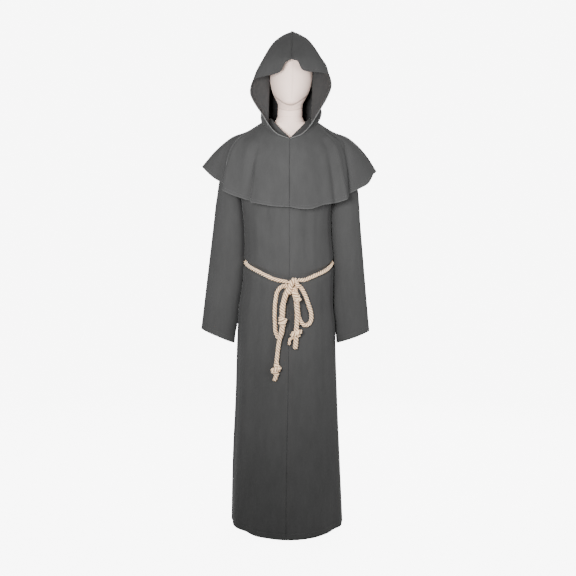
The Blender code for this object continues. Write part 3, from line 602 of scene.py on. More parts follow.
print("ripple at the origin:", round(float(ripple(0.0, 0.0, 3, 0.1, 1.0)), 3))


# %% From a plan to a mesh
SAME_POINT = 2e-5  # points that are closer than this are one


def laid_out(surface, rows, columns, inside, shaped, drop_mask=None):
    """Grid of points: surface + normal (drop + creases). The normal is the cross product of small steps."""
    (a, drop_a), (b, drop_b) = rows, columns
    a, b = a[:, None] + 0 * b[None, :], b[None, :] + 0 * a[:, None]
    points, e = surface(a, b), 2e-4
    along = surface(np.minimum(a + e, 1), b) - surface(np.maximum(a - e, 0), b)
    across = surface(a, np.minimum(b + e, 1)) - surface(a, np.maximum(b - e, 0))
    normal = np.cross(along, across)
    size = np.linalg.norm(normal, axis=-1, keepdims=True)
    normal = normal / np.maximum(size, 1e-15)
    way = 1 if np.sum(normal * (points - inside(points))) > 0 else -1
    drop_b = drop_b[None, :] * (1 if drop_mask is None else drop_mask(a, b))
    lift = np.minimum(np.minimum(drop_a[:, None], drop_b), 0 * a) + shaped(points, a, b)
    return points + way * normal * lift[..., None] * (size > 1e-12), way * normal, way > 0


def sheet(surface, rows, columns, *rest):
    """A piece of cloth as a function that lays out its own grid, or other rows and columns of it."""
    return lambda a=rows, b=columns: laid_out(surface, a, b, *rest)


def grid_mesh(name, grids, closed=False, marks=()):
    """Quads between neighbouring points of each grid, sewn where two are the same, and marks per point."""
    points = np.concatenate([g.reshape(-1, 3) for g, _ in grids])
    quads, first = [], 0
    for grid, turned in grids:
        rows, columns = grid.shape[:2]
        number = first + np.arange(rows * columns).reshape(rows, columns)
        after = np.roll(number, -1, axis=1)
        corners = np.stack([number[:-1], after[:-1], after[1:], number[1:]], -1)
        corners = corners if closed else corners[:, :-1]
        quads.append(corners.reshape(-1, 4)[:, :: -1 if turned else 1])
        first += rows * columns
    spots = np.round(points / SAME_POINT).astype(int)
    _, kept, same = np.unique(spots, axis=0, return_index=True, return_inverse=True)
    points, quads = points[kept], same.ravel()[np.concatenate(quads)]
    distinct = quads != np.roll(quads, -1, axis=1)
    counts = distinct.sum(1)
    loops = quads[distinct][np.repeat(counts >= 3, counts)]
    counts = counts[counts >= 3]
    mesh = bpy.data.meshes.new(name)
    mesh.vertices.add(len(points))
    mesh.vertices.foreach_set("co", points.astype(np.float32).ravel())
    mesh.loops.add(len(loops))
    mesh.loops.foreach_set("vertex_index", loops.astype(np.int32))
    mesh.polygons.add(len(counts))
    mesh.polygons.foreach_set("loop_start", np.cumsum(np.append(0, counts[:-1])).astype(np.int32))
    mesh.update(calc_edges=True)
    for mark, values in marks:
        mesh.attributes.new(mark, "FLOAT", "POINT").data.foreach_set("value", np.ravel(values)[kept])
    mesh.validate()
    mesh.shade_smooth()
    return mesh


def add_piece(name, mesh, finish):
    piece = added(name, mesh)
    mesh.materials.append(finish)
    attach(piece, "root")
    return piece


def felt_piece(name, parts, *nodes, fold_highlight=None):
    """A piece of felt with its thickness inwards; the last argument gives each point's painted highlight
    where it turns sharply.
    """
    grids = [part()[::2] for part in parts]
    # The mark per point is the painted highlight along a turned edge.
    mesh = grid_mesh(name, grids, marks=[("fold_highlight", fold_highlight(grids[0][0]))] if fold_highlight else ())
    piece = add_piece("felt_" + name, mesh, FELT)
    wall = piece.modifiers.new("wall", "SOLIDIFY")
    wall.thickness = CLOTH
    wall.offset = -1
    wall.use_even_offset = False
    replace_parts(piece, *nodes)
    areas = np.empty(len(mesh.polygons))
    mesh.polygons.foreach_get("area", areas)
    print(piece.name, len(areas), "faces,", round(float(areas.sum()), 4), "m2")
    return piece


print("meshes are made from grids of points")

# %% [markdown]
# ## Materials
#
# Shader maths reads best as maths. A Wire stands for a socket, and adding or multiplying two of them puts a
# Math node between. A Tree makes any other node with one method, and a Finish is the tree of one material.


# %% Wires and finishes
class Wire:
    """A socket that can be used in an expression."""

    def __init__(self, tree, socket):
        self.tree, self.socket = tree, socket

    def __add__(self, other):
        return self.tree.node("ShaderNodeMath", {"operation": "ADD"}, (self, other))

    def __mul__(self, other):
        return self.tree.node("ShaderNodeMath", {"operation": "MULTIPLY"}, (self, other))


class Tree:
    """The nodes of a material or of the world."""

    def __init__(self, owner):
        owner.use_nodes = True
        self.nodes, self.links = owner.node_tree.nodes, owner.node_tree.links

    def feed(self, socket, value):
        """Links a wire to a socket, or sets the socket's value."""
        if isinstance(value, Wire):
            self.links.new(value.socket, socket)
        else:
            socket.default_value = value

    def node(self, kind, settings=None, inputs=(), output=0):
        """Any node: its settings first, then each socket's value or wire."""
        made = self.nodes.new(kind)
        for name, value in (settings or {}).items():
            setattr(made, name, value)
        for key, value in inputs.items() if isinstance(inputs, dict) else enumerate(inputs):
            self.feed(made.inputs[key], value)
        return Wire(self, made.outputs[output])


class Finish(Tree):
    """A material round one Principled shader."""

    def __init__(self, name, **constants):
        self.material = bpy.data.materials.new(name)
        super().__init__(self.material)
        self.wear(**constants)

    def wear(self, **sockets):
        """Feeds the shader's own sockets."""
        for name, value in sockets.items():
            self.feed(self.nodes["Principled BSDF"].inputs[name.replace("_", " ")], value)
        return self.material

    def place(self):
        return self.node("ShaderNodeTexCoord", output="Object")

    def attribute(self, name, output="Vector"):
        return self.node("ShaderNodeAttribute", {"attribute_name": name}, output=output)

    def stretched(self, vector, scale):
        return self.node("ShaderNodeVectorMath", {"operation": "MULTIPLY"}, (vector, scale))

    def noise(self, vector, scale, detail=2.0, rough=0.5):
        sockets = {"Vector": vector, "Scale": scale, "Detail": detail, "Roughness": rough}
        return self.node("ShaderNodeTexNoise", {}, sockets)

    def fit(self, value, low, high, to_low=0.0, to_high=1.0):
        return self.node("ShaderNodeMapRange", {"clamp": True}, (value, low, high, to_low, to_high))

    def mix(self, share, dark, light):
        """A blend of two colours, each a wire or red, green and blue."""
        dark, light = (colour if isinstance(colour, Wire) else (*colour, 1) for colour in (dark, light))
        return self.node("ShaderNodeMix", {"data_type": "RGBA"}, {0: share, 6: dark, 7: light}, output=2)

    def bump(self, height, distance, strength):
        sockets = {"Height": height, "Distance": distance, "Strength": strength}
        return self.node("ShaderNodeBump", {}, sockets)


print("wires and finishes are ready")

# %% [markdown]
# ## Felted cloth
#
# The costume is a plain dark grey polyester with a brushed face: no thread shows, the shine is a faint bloom
# at grazing angles, and the tone drifts by a few per cent from place to place. The bloom is the sheen of
# short fibres that stand up, so it is a constant on the shader. The nap and its lint are noise at a fraction
# of a millimetre. Along the sharp turn of the cape's hem and of the hood's brim a painted highlight makes the
# felt paler: each point carries a mark for it.


# %% Felt and thread
def felt_finish(name, dark, light, bloom):
    """Brushed felt: tone = drift + mottle + nap + lint, raised by nap and lint, with a painted highlight
    along turned edges.
    """
    constants = {"Sheen_Weight": bloom, "Sheen_Roughness": 0.45, "Sheen_Tint": (0.8, 0.8, 0.8, 1)}
    finish = Finish(name, Specular_IOR_Level=0.25, **constants)
    at = finish.place()
    combed = finish.stretched(at, (1.0, 1.0, 0.30))
    drift = finish.noise(at, 5.0, 2.0)
    mottle = finish.noise(combed, 55.0, 3.0)
    nap = finish.noise(combed, 520.0, 4.0, 0.6)
    lint = finish.noise(at, 1500.0, 2.0, 0.6)
    tone = finish.fit(drift * 0.34 + mottle * 0.24 + nap * 0.26 + lint * 0.16, 0.38, 0.62)
    cloth = finish.mix(tone, dark, light)
    return finish.wear(
        # The pale grey mixed in by each point's mark is a painted highlight along the turned edges of hems.
        Base_Color=finish.mix(finish.attribute("fold_highlight", "Fac"), cloth, (0.17, 0.17, 0.17)),
        Roughness=finish.fit(nap, 0.3, 0.7, 0.86, 0.97),
        Normal=finish.bump(nap * 0.7 + lint * 0.3, 0.00045, 0.75),
    )


def highlight_near_fold(distance):
    """How much painted highlight a point gets by its distance from a hem's turn: hill(distance / the
    highlight's width).
    """
    return hill(distance / FOLD_HIGHLIGHT_WIDE)


FELT = felt_finish("felt", (0.031, 0.031, 0.031), (0.041, 0.041, 0.041), 0.07)
THREAD = felt_finish("sewing_thread", (0.040, 0.040, 0.040), (0.105, 0.105, 0.107), 0.05)
# Width of the painted highlight along a turned edge, and its strength on the cape and on the hood.
FOLD_HIGHLIGHT_WIDE, CAPE_FOLD_HIGHLIGHT, HOOD_FOLD_HIGHLIGHT = 0.0022, 0.18, 0.42
felt, sheets = {}, {}
print("finishes:", FELT.name, THREAD.name)

# %% [markdown]
# ## The robe
#
# Two front panels are sewn down the middle, and one back panel is as wide as both. The felt hangs almost
# straight: on the chest it swells a little on either side of the centre seam, and below the belt long soft
# folds open towards the hem. Beside the belt it is drawn into short tucks, deeper behind than in front.

# %% The robe's creases
ROBE_HEM_Z = ROBE_DEPTH["z"][0]
ROBE_HIGH = SHOULDER["z"][-1] - ROBE_HEM_Z
ROBE_QUARTER = 0.30  # about a quarter of the way round, in metres
ROBE_HEM_WIDTH = 0.020
ROBE_CREASES = {
    ("front", "right"): (
        (0.042, 1.16, 0.026, 0.0032, 0.036, 0.97, 0.02, 0.0016),
        (0.1, 1.17, 0.02, -0.0034, 0.084, 0.97, 0.016, -0.002),
        (0.15, 1.1, 0.02, 0.0016, 0.135, 0.98, 0.014, 0.001),
        (0.06, 0.84, 0.016, 0, 0.075, 0, 0.04, 0.0034),
        (0.12, 0.86, 0.013, -0.0006, 0.14, 0, 0.032, -0.004),
        (0.17, 0.87, 0.014, 0.001, 0.205, 0, 0.036, 0.0046),
        (0.235, 0.88, 0.013, -0.001, 0.252, 0, 0.026, -0.0034),
    ),
    ("front", "left"): (
        (0.036, 1.17, 0.024, 0.0028, 0.032, 0.97, 0.018, 0.0014),
        (0.088, 1.16, 0.02, -0.0034, 0.078, 0.98, 0.016, -0.0018),
        (0.16, 1.12, 0.022, 0.0014, 0.14, 0.97, 0.014, 0.0012),
        (0.045, 0.83, 0.016, -0.0003, 0.052, 0, 0.036, -0.003),
        (0.1, 0.86, 0.014, 0.0008, 0.118, 0, 0.036, 0.0042),
        (0.16, 0.87, 0.013, -0.0008, 0.18, 0, 0.03, -0.004),
        (0.215, 0.88, 0.013, 0.0008, 0.238, 0, 0.032, 0.0034),
    ),
    ("back", "right"): (
        (0.045, 1.2, 0.03, 0.0018, 0.04, 1.02, 0.022, 0.001),
        (0.115, 1.2, 0.024, -0.0022, 0.1, 1.02, 0.016, -0.0014),
        (0.055, 0.92, 0.014, 0.001, 0.07, 0, 0.038, 0.0052),
        (0.11, 0.92, 0.013, -0.0012, 0.132, 0, 0.034, -0.0056),
        (0.175, 0.91, 0.014, 0.0012, 0.2, 0, 0.036, 0.005),
        (0.232, 0.9, 0.013, -0.001, 0.255, 0, 0.026, -0.0036),
    ),
    ("back", "left"): (
        (0.06, 1.21, 0.03, 0.0016, 0.05, 1.02, 0.022, 0.001),
        (0.125, 1.19, 0.024, -0.0022, 0.11, 1.02, 0.016, -0.0014),
        (0.03, 0.92, 0.013, -0.0012, 0.026, 0, 0.034, -0.005),
        (0.088, 0.92, 0.014, 0.0012, 0.102, 0, 0.036, 0.0052),
        (0.145, 0.91, 0.013, -0.0012, 0.165, 0, 0.032, -0.0052),
        (0.205, 0.9, 0.014, 0.001, 0.228, 0, 0.034, 0.004),
    ),
}
TUCKS_FROM, TUCKS_END, TUCK_EVERY, TUCK_UNEVEN = 0.030, 0.02, 0.026, 0.007  # round the quarter
TUCK_REACH = ((1, 0.050), (-1, 0.075))  # how far above and below the belt
TUCK_START, TUCK_LEAST, TUCK_WIDE, TUCK_WIDE_END = 0.012, 0.014, 0.0050, 0.0095
TUCKS_DEEP = {"front": 0.0009, "back": 0.0016}
ROPE_HIDES, ROPE_FADE = 0.008, 0.030  # how far from the rope's middle the folds start, and grow
CAPE_LIES_Z, CAPE_LIES_FADE, CAPE_FLATTENS = 1.16, 0.10, 0.85  # where the cape lies on the robe's folds
RIPPLE_HIGH, RIPPLE_GROWS, RIPPLE_GROWS_BELOW, FINE_RIPPLE_HIGH = 0.0006, 0.0012, 0.85, 0.00010


def tucks(side, face):
    """Short valleys above and below the belt, at seeded places a little unevenly apart."""
    draw = np.random.default_rng(seed(11, side, face))
    lines = []
    for way, reach in TUCK_REACH:
        for arc in np.arange(TUCKS_FROM, ROBE_QUARTER - TUCKS_END, TUCK_EVERY):
            arc += draw.uniform(-TUCK_UNEVEN, TUCK_UNEVEN)
            angle = 90 * arc / ROBE_QUARTER
            belt = float(belt_height(side, angle if face == "front" else 180 - angle))
            deep = -TUCKS_DEEP[face] * draw.uniform(0.4, 1.3)
            far = belt + way * (TUCK_LEAST + reach * draw.uniform(0.6, 1.3))
            drift = draw.uniform(-0.006, 0.008)
            near = (arc, belt + way * TUCK_START, TUCK_WIDE, deep)
            lines.append((*near, arc + drift, far, TUCK_WIDE_END, 0.0))
    return tuple(lines)


def robe_shape(side, face):
    """Creases and a ripple, none of them under the rope, at the seams or where the cape lies."""
    lines = ROBE_CREASES[face, side] + tucks(side, face)
    number = seed(21, side, face)

    def shaped(points, a, b):
        z, arc = points[..., 2], b * ROBE_QUARTER
        angle = 90 * b if face == "front" else 180 - 90 * b
        off_belt = smooth((np.abs(z - belt_height(side, angle)) - ROPE_HIDES) / ROPE_FADE)
        free = 1 - CAPE_FLATTENS * smooth((z - CAPE_LIES_Z) / CAPE_LIES_FADE)
        size = RIPPLE_HIGH + RIPPLE_GROWS * np.clip((RIPPLE_GROWS_BELOW - z) / RIPPLE_GROWS_BELOW, 0, 1)
        waves = size * ripple(arc, z, number, 0.085, 1.1)
        waves = waves + FINE_RIPPLE_HIGH * ripple(arc, z, number + 50, 0.03, 0.12)
        ends = off_seams(arc, ROBE_QUARTER, 0.022, 0.030)
        return (creases(arc, z, lines) + waves) * off_belt * ends * free

    return shaped


print("creases of the robe:", sum(len(lines) for lines in ROBE_CREASES.values()), "and its tucks")

# %% The robe's panels
ROBE_STEPS = ((0.84, 0.010), (0.99, 0.0022), (1.19, 0.008), (ROBE_HIGH, 0.006))  # finer beside the belt
ROBE_ROWS = plan(ROBE_HIGH, hem(ROBE_HEM_WIDTH), plain(), *ROBE_STEPS)
ROBE_COLUMNS = plan(ROBE_QUARTER, seam(0.0022, 0.0056), seam(), (1, 0.0052))


def above_neck(a, b):
    """Only the part of the back's middle line above the neckline is an edge."""
    return np.where(b < 0.5, smooth((ROBE_HEM_Z + ROBE_HIGH * a - NECK_BACK_Z) / 0.004), 1)


def robe_quarter(side, face):
    """z rises evenly with the row, and the angle goes from the middle or neckline to the side seam."""

    def surface(a, b):
        z = ROBE_HEM_Z + ROBE_HIGH * a
        start = neck_angle(side, face, z)
        return robe_surface(side, face, z, start + (math.pi / 2 - start) * b)

    mask = above_neck if face == "back" else None
    return sheet(surface, ROBE_ROWS, ROBE_COLUMNS, spine, robe_shape(side, face), mask)


for face in ("front", "back"):
    sheets.update({f"{face}_{side}": robe_quarter(side, face) for side in SIDES})
for panel, quarters in (
    ("front_right", ("front_right",)),
    ("front_left", ("front_left",)),
    ("back", ("back_right", "back_left")),
):
    name = "robe_" + panel
    felt[name] = felt_piece(name, [sheets[quarter] for quarter in quarters], name)

# %% [markdown]
# ## Sleeves
#
# A sleeve is one piece, folded round and sewn under the arm, set into the armhole, and hemmed at the cuff.
# Its inner side rests against the body, and the belt nips both together.

# %% Sleeves
SLEEVE_HEM_WIDTH, SLEEVE_ROUND = 0.018, 0.40
SLEEVE_PRESS, LET_IN = 0.0012, 0.010
LET_IN_TOP, LET_IN_TOP_FADE = 1.20, 0.02  # it rests against the body from here down to FREE_BELOW
FREE_BELOW, LET_IN_FADE, PRESSED_FADE = {"right": 0.692, "left": 0.668}, 0.07, 0.04
ARMHOLE_FADE = 0.10  # its creases grow over this length from the armhole
BELT_NIP, BELT_NIP_HALF = 0.0030, 0.024  # how far it follows the body's hollow beside the belt
SLEEVE_CREASES = {
    "right": (
        (0.1, 0.28, 0.018, -0.0022, 0.42, 0.24, 0.024, -0.0016),
        (0.2, 0.2, 0.02, 0.002, 0.66, 0.17, 0.026, 0.0024),
        (0.28, 0.1, 0.018, -0.0016, 0.68, 0.09, 0.024, -0.0022),
        (0.16, 0.02, 0.018, 0.0016, 0.68, 0.02, 0.022, 0.0018),
    ),
    "left": (
        (0.12, 0.12, 0.018, 0.0022, 0.66, 0.1, 0.024, 0.0022),
        (0.24, 0.19, 0.018, -0.002, 0.68, 0.18, 0.024, -0.0024),
        (0.1, 0.27, 0.02, 0.0016, 0.5, 0.26, 0.024, 0.0016),
        (0.2, 0.04, 0.018, -0.0014, 0.68, 0.04, 0.022, -0.0018),
    ),
}


def sleeve_middle(side):
    """X and Z of the middle of each ring of a sleeve."""
    return [(SLEEVE[side]["outer_" + c] + SLEEVE[side]["inner_" + c]) / 2 for c in "xz"]


def inner_side(b):
    """1 on the side of the sleeve next to the body, 0 on its outer side."""
    return smooth(-1.6 * np.cos(math.pi * (2 * b + 1)) - 0.2)


def sleeve_sheet(side):
    """The sleeve's tube, let in to the body where it rests against it."""
    rings, (middle_x, middle_z) = SLEEVE[side], sleeve_middle(side)
    run = run_of(np.stack([middle_x, middle_z], -1))

    def surface(a, b):
        points = sleeve_surface(side, np.interp(a * run[-1], run, np.arange(len(run))), math.pi * (2 * b + 1))
        z = points[..., 2]
        gap = curve(-rings["inner_z"], rings["inner_x"], -z) - body_edge(side, z)[0] + SLEEVE_PRESS
        gap = gap + BELT_NIP * hill((z - belt_height(side, 90.0)) / BELT_NIP_HALF)
        gap = np.clip(gap, 0, LET_IN) * smooth((z - FREE_BELOW[side]) / LET_IN_FADE)
        gap = gap * smooth((LET_IN_TOP - z) / LET_IN_TOP_FADE)
        points[..., 0] -= sign(side) * gap * inner_side(b)
        return points

    def core(points):
        return spine(points) + np.interp(-points[..., 2:], -middle_z, middle_x) * (sign(side), 0, 0)

    def shaped(points, a, b):
        along, arc = a * run[-1], b * SLEEVE_ROUND
        waves = 0.0008 * ripple(arc, along, seed(31, side), 0.10, 0.8)
        pressed = inner_side(b) * smooth((points[..., 2] - FREE_BELOW[side]) / PRESSED_FADE)
        ends = off_seams(arc, SLEEVE_ROUND) * smooth(along / ARMHOLE_FADE)
        return (creases(along, arc, SLEEVE_CREASES[side]) + waves) * ends * (1 - pressed)

    rows = plan(run[-1], seam(), hem(SLEEVE_HEM_WIDTH), (1, 0.007))
    return sheet(surface, rows, plan(SLEEVE_ROUND, seam(), seam(), (1, 0.0048)), core, shaped)


for side in SIDES:
    name = "sleeve_" + side
    sheets[name] = sleeve_sheet(side)
    felt[name] = felt_piece(name, [sheets[name]], name + "_above_elbow", name + "_below_elbow")

# %% [markdown]
# ## The cape and the hood
#
# The cape's flutes are in its form already. A few sharper folds and soft swells lie between them. The hood's
# brim is turned under and stitched like a hem, and its halves are sewn from the brim's peak over the crown
# to the neck.

# %% The cape
CAPE_LONG, CAPE_ROUND, CAPE_HEM_WIDTH = 0.28, 0.55, 0.010
CAPE_CREASES = {
    "right": (
        (0.07, 0.07, 0.024, 0.001, 0.28, 0.084, 0.034, 0.005),
        (0.14, 0.03, 0.01, -0.0006, 0.28, 0.034, 0.014, -0.0026),
        (0.1, 0.133, 0.01, -0.004, 0.28, 0.141, 0.009, -0.0155),
        (0.08, 0.16, 0.009, 0.002, 0.28, 0.163, 0.01, 0.005),
        (0.05, 0.206, 0.009, 0.0044, 0.28, 0.201, 0.009, 0.011),
        (0.1, 0.23, 0.008, -0.0044, 0.28, 0.228, 0.008, -0.011),
        (0.12, 0.29, 0.016, -0.0016, 0.28, 0.3, 0.022, -0.0036),
        (0.12, 0.36, 0.016, 0.0016, 0.28, 0.362, 0.022, 0.0036),
        (0.1, 0.44, 0.018, -0.0014, 0.28, 0.44, 0.024, -0.0036),
    ),
    "left": (
        (0.07, 0.062, 0.022, 0.001, 0.28, 0.07, 0.032, 0.0048),
        (0.16, 0.024, 0.009, -0.0004, 0.28, 0.026, 0.012, -0.0024),
        (0.08, 0.148, 0.01, -0.003, 0.28, 0.154, 0.0095, -0.01),
        (0.07, 0.174, 0.009, 0.0042, 0.28, 0.178, 0.0085, 0.011),
        (0.04, 0.214, 0.009, -0.0056, 0.28, 0.207, 0.008, -0.014),
        (0.12, 0.285, 0.016, 0.0012, 0.28, 0.29, 0.022, 0.003),
        (0.12, 0.345, 0.016, -0.0016, 0.28, 0.35, 0.022, -0.0034),
        (0.1, 0.415, 0.018, 0.0014, 0.28, 0.42, 0.024, 0.0036),
    ),
}
CAPE_ROWS = plan(CAPE_LONG, plain(), hem(CAPE_HEM_WIDTH), (1, 0.0045))
CAPE_COLUMNS = plan(CAPE_ROUND, seam(), seam(), (1, 0.0038))


def cape_sheet(side):
    """Half the cape: rows from the neck down, columns from the front seam to the back seam."""

    def surface(a, b):
        return cape_surface(side, a, 180 * b)

    def below(points):
        return spine(points) - (0, 0, 0.1)

    def shaped(points, a, b):
        along, arc = a * CAPE_LONG, b * CAPE_ROUND
        waves = 0.0007 * ripple(arc, along, seed(41, side), 0.07, 0.5)
        ends = off_seams(arc, CAPE_ROUND) * smooth((along - TURN) / 0.03)
        return (creases(along, arc, CAPE_CREASES[side]) + waves) * ends

    return sheet(surface, CAPE_ROWS, CAPE_COLUMNS, below, shaped)


def cape_fold_highlight(points):
    """How strong the painted highlight is at each point of the cape, along its hem."""
    return CAPE_FOLD_HIGHLIGHT * highlight_near_fold(CAPE_LONG * (1 - CAPE_ROWS[0]))[:, None] + 0 * points[..., 0]


for side in SIDES:
    name = "cape_" + side
    sheets[name] = cape_sheet(side)
    felt[name] = felt_piece(name, [sheets[name]], name, fold_highlight=cape_fold_highlight)

# %% The hood
HOOD_HIGH, HOOD_DEEP, HOOD_HEM_WIDTH = 0.40, 0.27, 0.012
SEAM_RIDGE = {"right": 0.0024, "left": 0.0006}  # the seam's allowances are pressed to the wearer's right
RIDGE_IN, RIDGE_HALF, RIDGE_FROM = 0.0065, 0.0030, 0.05
HOOD_CREASES = {
    "right": (
        (0.02, 0.1, 0.014, -0.0018, 0.09, 0.13, 0.02, 0),
        (0.03, 0.2, 0.014, 0.0016, 0.12, 0.19, 0.02, 0),
    ),
    "left": (
        (0.02, 0.08, 0.014, -0.0018, 0.1, 0.1, 0.02, 0),
        (0.03, 0.18, 0.014, -0.0016, 0.1, 0.2, 0.02, 0),
    ),
}
HOOD_ROWS = plan(HOOD_HIGH, plain(), plain(), (1, 0.0032))
HOOD_COLUMNS = plan(HOOD_DEEP, hem(HOOD_HEM_WIDTH), seam(0.0034, 0.0070), (1, 0.0030))


def hood_sheet(side):
    """Half the hood: rows from the neck seam up, columns from the brim to the centre seam."""

    def surface(a, b):
        return hood_surface(side, (HOOD_RIBS + 1) * a, b)

    def shaped(points, a, b):
        along, arc = a * HOOD_HIGH, b * HOOD_DEEP
        ends = smooth((HOOD_DEEP - TURN - arc) / 0.02) * smooth((along - TURN) / 0.02) * smooth((1 - a) / 0.2)
        waves = 0.0005 * ripple(arc, along, seed(51, side), 0.09, 0.3)
        ridge = SEAM_RIDGE[side] * hill((HOOD_DEEP - arc - RIDGE_IN) / RIDGE_HALF)
        ridge = ridge * smooth((along - RIDGE_FROM) / RIDGE_FROM)
        return (creases(along, arc, HOOD_CREASES[side]) + waves) * ends + ridge

    return sheet(surface, HOOD_ROWS, HOOD_COLUMNS, spine, shaped)


def hood_fold_highlight(points):
    """How strong the painted highlight is at each point of the hood, along its brim, up to the height of the
    forehead.
    """
    return HOOD_FOLD_HIGHLIGHT * highlight_near_fold(HOOD_DEEP * HOOD_COLUMNS[0]) * smooth((1.56 - points[..., 2]) / 0.05)


for side in SIDES:
    name = "hood_" + side
    sheets[name] = hood_sheet(side)
    felt[name] = felt_piece(name, [sheets[name]], name, fold_highlight=hood_fold_highlight)

# %% [markdown]
# ## The dress form
#
# The form is limbless: an egg for the head, a neck and a padded torso, all under a stretched off-white
# cover. Thin seams show in the cover, one under the chin and one round the neck, and a third runs down the
# face.

# %% Rings of the form
TORSO_BOTTOM, NECK_JOINT, HEAD_GAP = 0.800, 1.4550, 0.0003
TORSO = table(
    "z half front back shift",
    (TORSO_BOTTOM, 0.118, 0.09, 0.082, 0), (0.9, 0.124, 0.096, 0.086, 0), (0.985, 0.112, 0.088, 0.078, 0),
    (1.1, 0.122, 0.1, 0.084, 0), (1.21, 0.142, 0.112, 0.094, 0), (1.29, 0.163, 0.104, 0.09, 0),
    (1.34, 0.182, 0.082, 0.076, 0), (1.362, 0.191, 0.068, 0.066, 0),
    (1.3762, 0.1985, 0.0585, 0.0585, 0.002), (1.3897, 0.1695, 0.0535, 0.0535, 0.002),
    (1.4037, 0.137, 0.0485, 0.0485, 0.002), (1.418, 0.103, 0.05, 0.048, 0.002),
    (1.428, 0.074, 0.049, 0.047, 0.003), (1.44, 0.051, 0.048, 0.047, 0.003),
    (NECK_JOINT, 0.043, 0.047, 0.047, 0.0035),
)
HEAD = table(
    "z half front back",
    (NECK_JOINT + HEAD_GAP, 0.043, 0.047, 0.047), (1.476, 0.0425, 0.05, 0.047),
    (1.488, 0.042, 0.064, 0.049), (1.498, 0.043, 0.079, 0.054), (1.513, 0.05, 0.087, 0.062),
    (1.533, 0.0605, 0.092, 0.074), (1.56, 0.069, 0.095, 0.086), (1.6, 0.073, 0.096, 0.095),
    (1.64, 0.071, 0.092, 0.096), (1.675, 0.0635, 0.08, 0.088), (1.702, 0.051, 0.062, 0.073),
    (1.721, 0.035, 0.039, 0.052), (1.7325, 0.016, 0.014, 0.026),
)
HEAD_TOP = (0.006, 1.7362)
CHIN_SEAM = table(
    "x z",
    (-0.075, 1.545), (-0.041, 1.511), (-0.02, 1.496), (0, 1.491), (0.02, 1.496), (0.041, 1.511),
    (0.075, 1.545),
)
NECK_LINE = table(
    "x z",
    (-0.075, 1.5), (-0.044, 1.485), (-0.022, 1.477), (0, 1.4745), (0.022, 1.477), (0.044, 1.485),
    (0.075, 1.5),
)
SEAMS_TOP = 1.550  # the rings are closer together below this height, where the seams need them
CHIN_WIDE, CHIN_DEEP, NECK_WIDE, NECK_DEEP = 0.0022, 0.0034, 0.0013, 0.0012
FACE_SEAM_X, FACE_WIDE, FACE_RAISED = 0.004, 0.0016, 0.0004
FORM_SIDES = 96


def ring_grid(z, half, front, back, shift):
    """Level rings (shift + half cos a, depth sin a, z); the depth is the front's where sin a is below 0."""
    turn = np.linspace(0, 2 * math.pi, FORM_SIDES, endpoint=False)
    depth = np.where(np.sin(turn) < 0, front[:, None], back[:, None])
    x = shift[:, None] + half[:, None] * np.cos(turn)
    return np.stack([x, depth * np.sin(turn), z[:, None] + 0 * turn], -1)


def closed_ends(grid, low, high):
    """Closes a tube of rings with a point below and a point above."""
    ends = [np.broadcast_to(np.array(p, float), (1, FORM_SIDES, 3)) for p in (low, high)]
    return np.concatenate([ends[0], grid, ends[1]])


def near_seam(points, line, wide):
    """hill(height above the line / wide), on the front of the form only."""
    x = points[..., 0] - middle(points[..., 2])
    return hill((points[..., 2] - read(line, "z", x)) / wide) * smooth(-points[..., 1] / 0.02)


def unit(vectors):
    return vectors / np.linalg.norm(vectors, axis=-1, keepdims=True)


z = np.arange(NECK_JOINT - 0.0012, SEAMS_TOP, 0.0008)
z = np.append(z, np.linspace(SEAMS_TOP, HEAD["z"][-1], 70))
rings = ring_grid(z, *(read(HEAD, name, z) for name in ("half", "front", "back")), middle(z))
chin, neck = near_seam(rings, CHIN_SEAM, CHIN_WIDE), near_seam(rings, NECK_LINE, NECK_WIDE)
face = hill((rings[..., 0] - middle(rings[..., 2]) - FACE_SEAM_X) / FACE_WIDE)
face = face * smooth(-rings[..., 1] / 0.03) * smooth((rings[..., 2] - 1.50) / 0.02)
raised = FACE_RAISED * face - CHIN_DEEP * chin - NECK_DEEP * neck
rings = rings + unit(rings - spine(rings)) * raised[..., None]
# The mark darkens the cover: under the chin it is painted shade below the chin's overhang as well as the
# seam's darker tape; round the neck and down the face it is only each seam's darker tape.
seams_and_chin_shade = np.maximum(np.maximum(0.72 * chin**0.7, 0.45 * neck), 0.18 * face)
top = (float(middle(HEAD_TOP[1])), *HEAD_TOP)
head_grid = closed_ends(rings, (float(middle(z[0])), 0, z[0]), top)

steps = np.arange(len(TORSO["z"]))
torso = {name: np.interp(np.linspace(0, steps[-1], 150), steps, column) for name, column in TORSO.items()}
ends = [(torso["shift"][i] if i else 0, 0, torso["z"][i]) for i in (0, -1)]
torso_grid = closed_ends(ring_grid(**torso), *ends)
print("form:", head_grid.shape[0], "rings on the head,", torso_grid.shape[0], "on the torso")


# %% The form's cover and its pieces
def cover_finish():
    """A stretched jersey: even off-white, with fine knit rows and a little drift, darker along each seam, and
    under the chin darker as painted shade.
    """
    finish = Finish("form_jersey", Sheen_Weight=0.08, Specular_IOR_Level=0.3)
    at = finish.place()
    drift = finish.noise(at, 9.0, 2.0)
    knit = finish.noise(finish.stretched(at, (1.0, 1.0, 2.2)), 900.0, 2.0)
    tone = finish.fit(drift * 0.6 + knit * 0.4, 0.35, 0.65)
    jersey = finish.mix(tone, (0.88, 0.670, 0.580), (0.97, 0.750, 0.655))
    return finish.wear(
        # The brown mixed in by the mark is each seam's darker tape, and under the chin painted shade as well.
        Base_Color=finish.mix(finish.attribute("seam", "Fac"), jersey, (0.20, 0.135, 0.105)),
        Roughness=finish.fit(knit, 0.3, 0.7, 0.70, 0.85),
        Normal=finish.bump(knit, 0.00025, 0.6),
    )


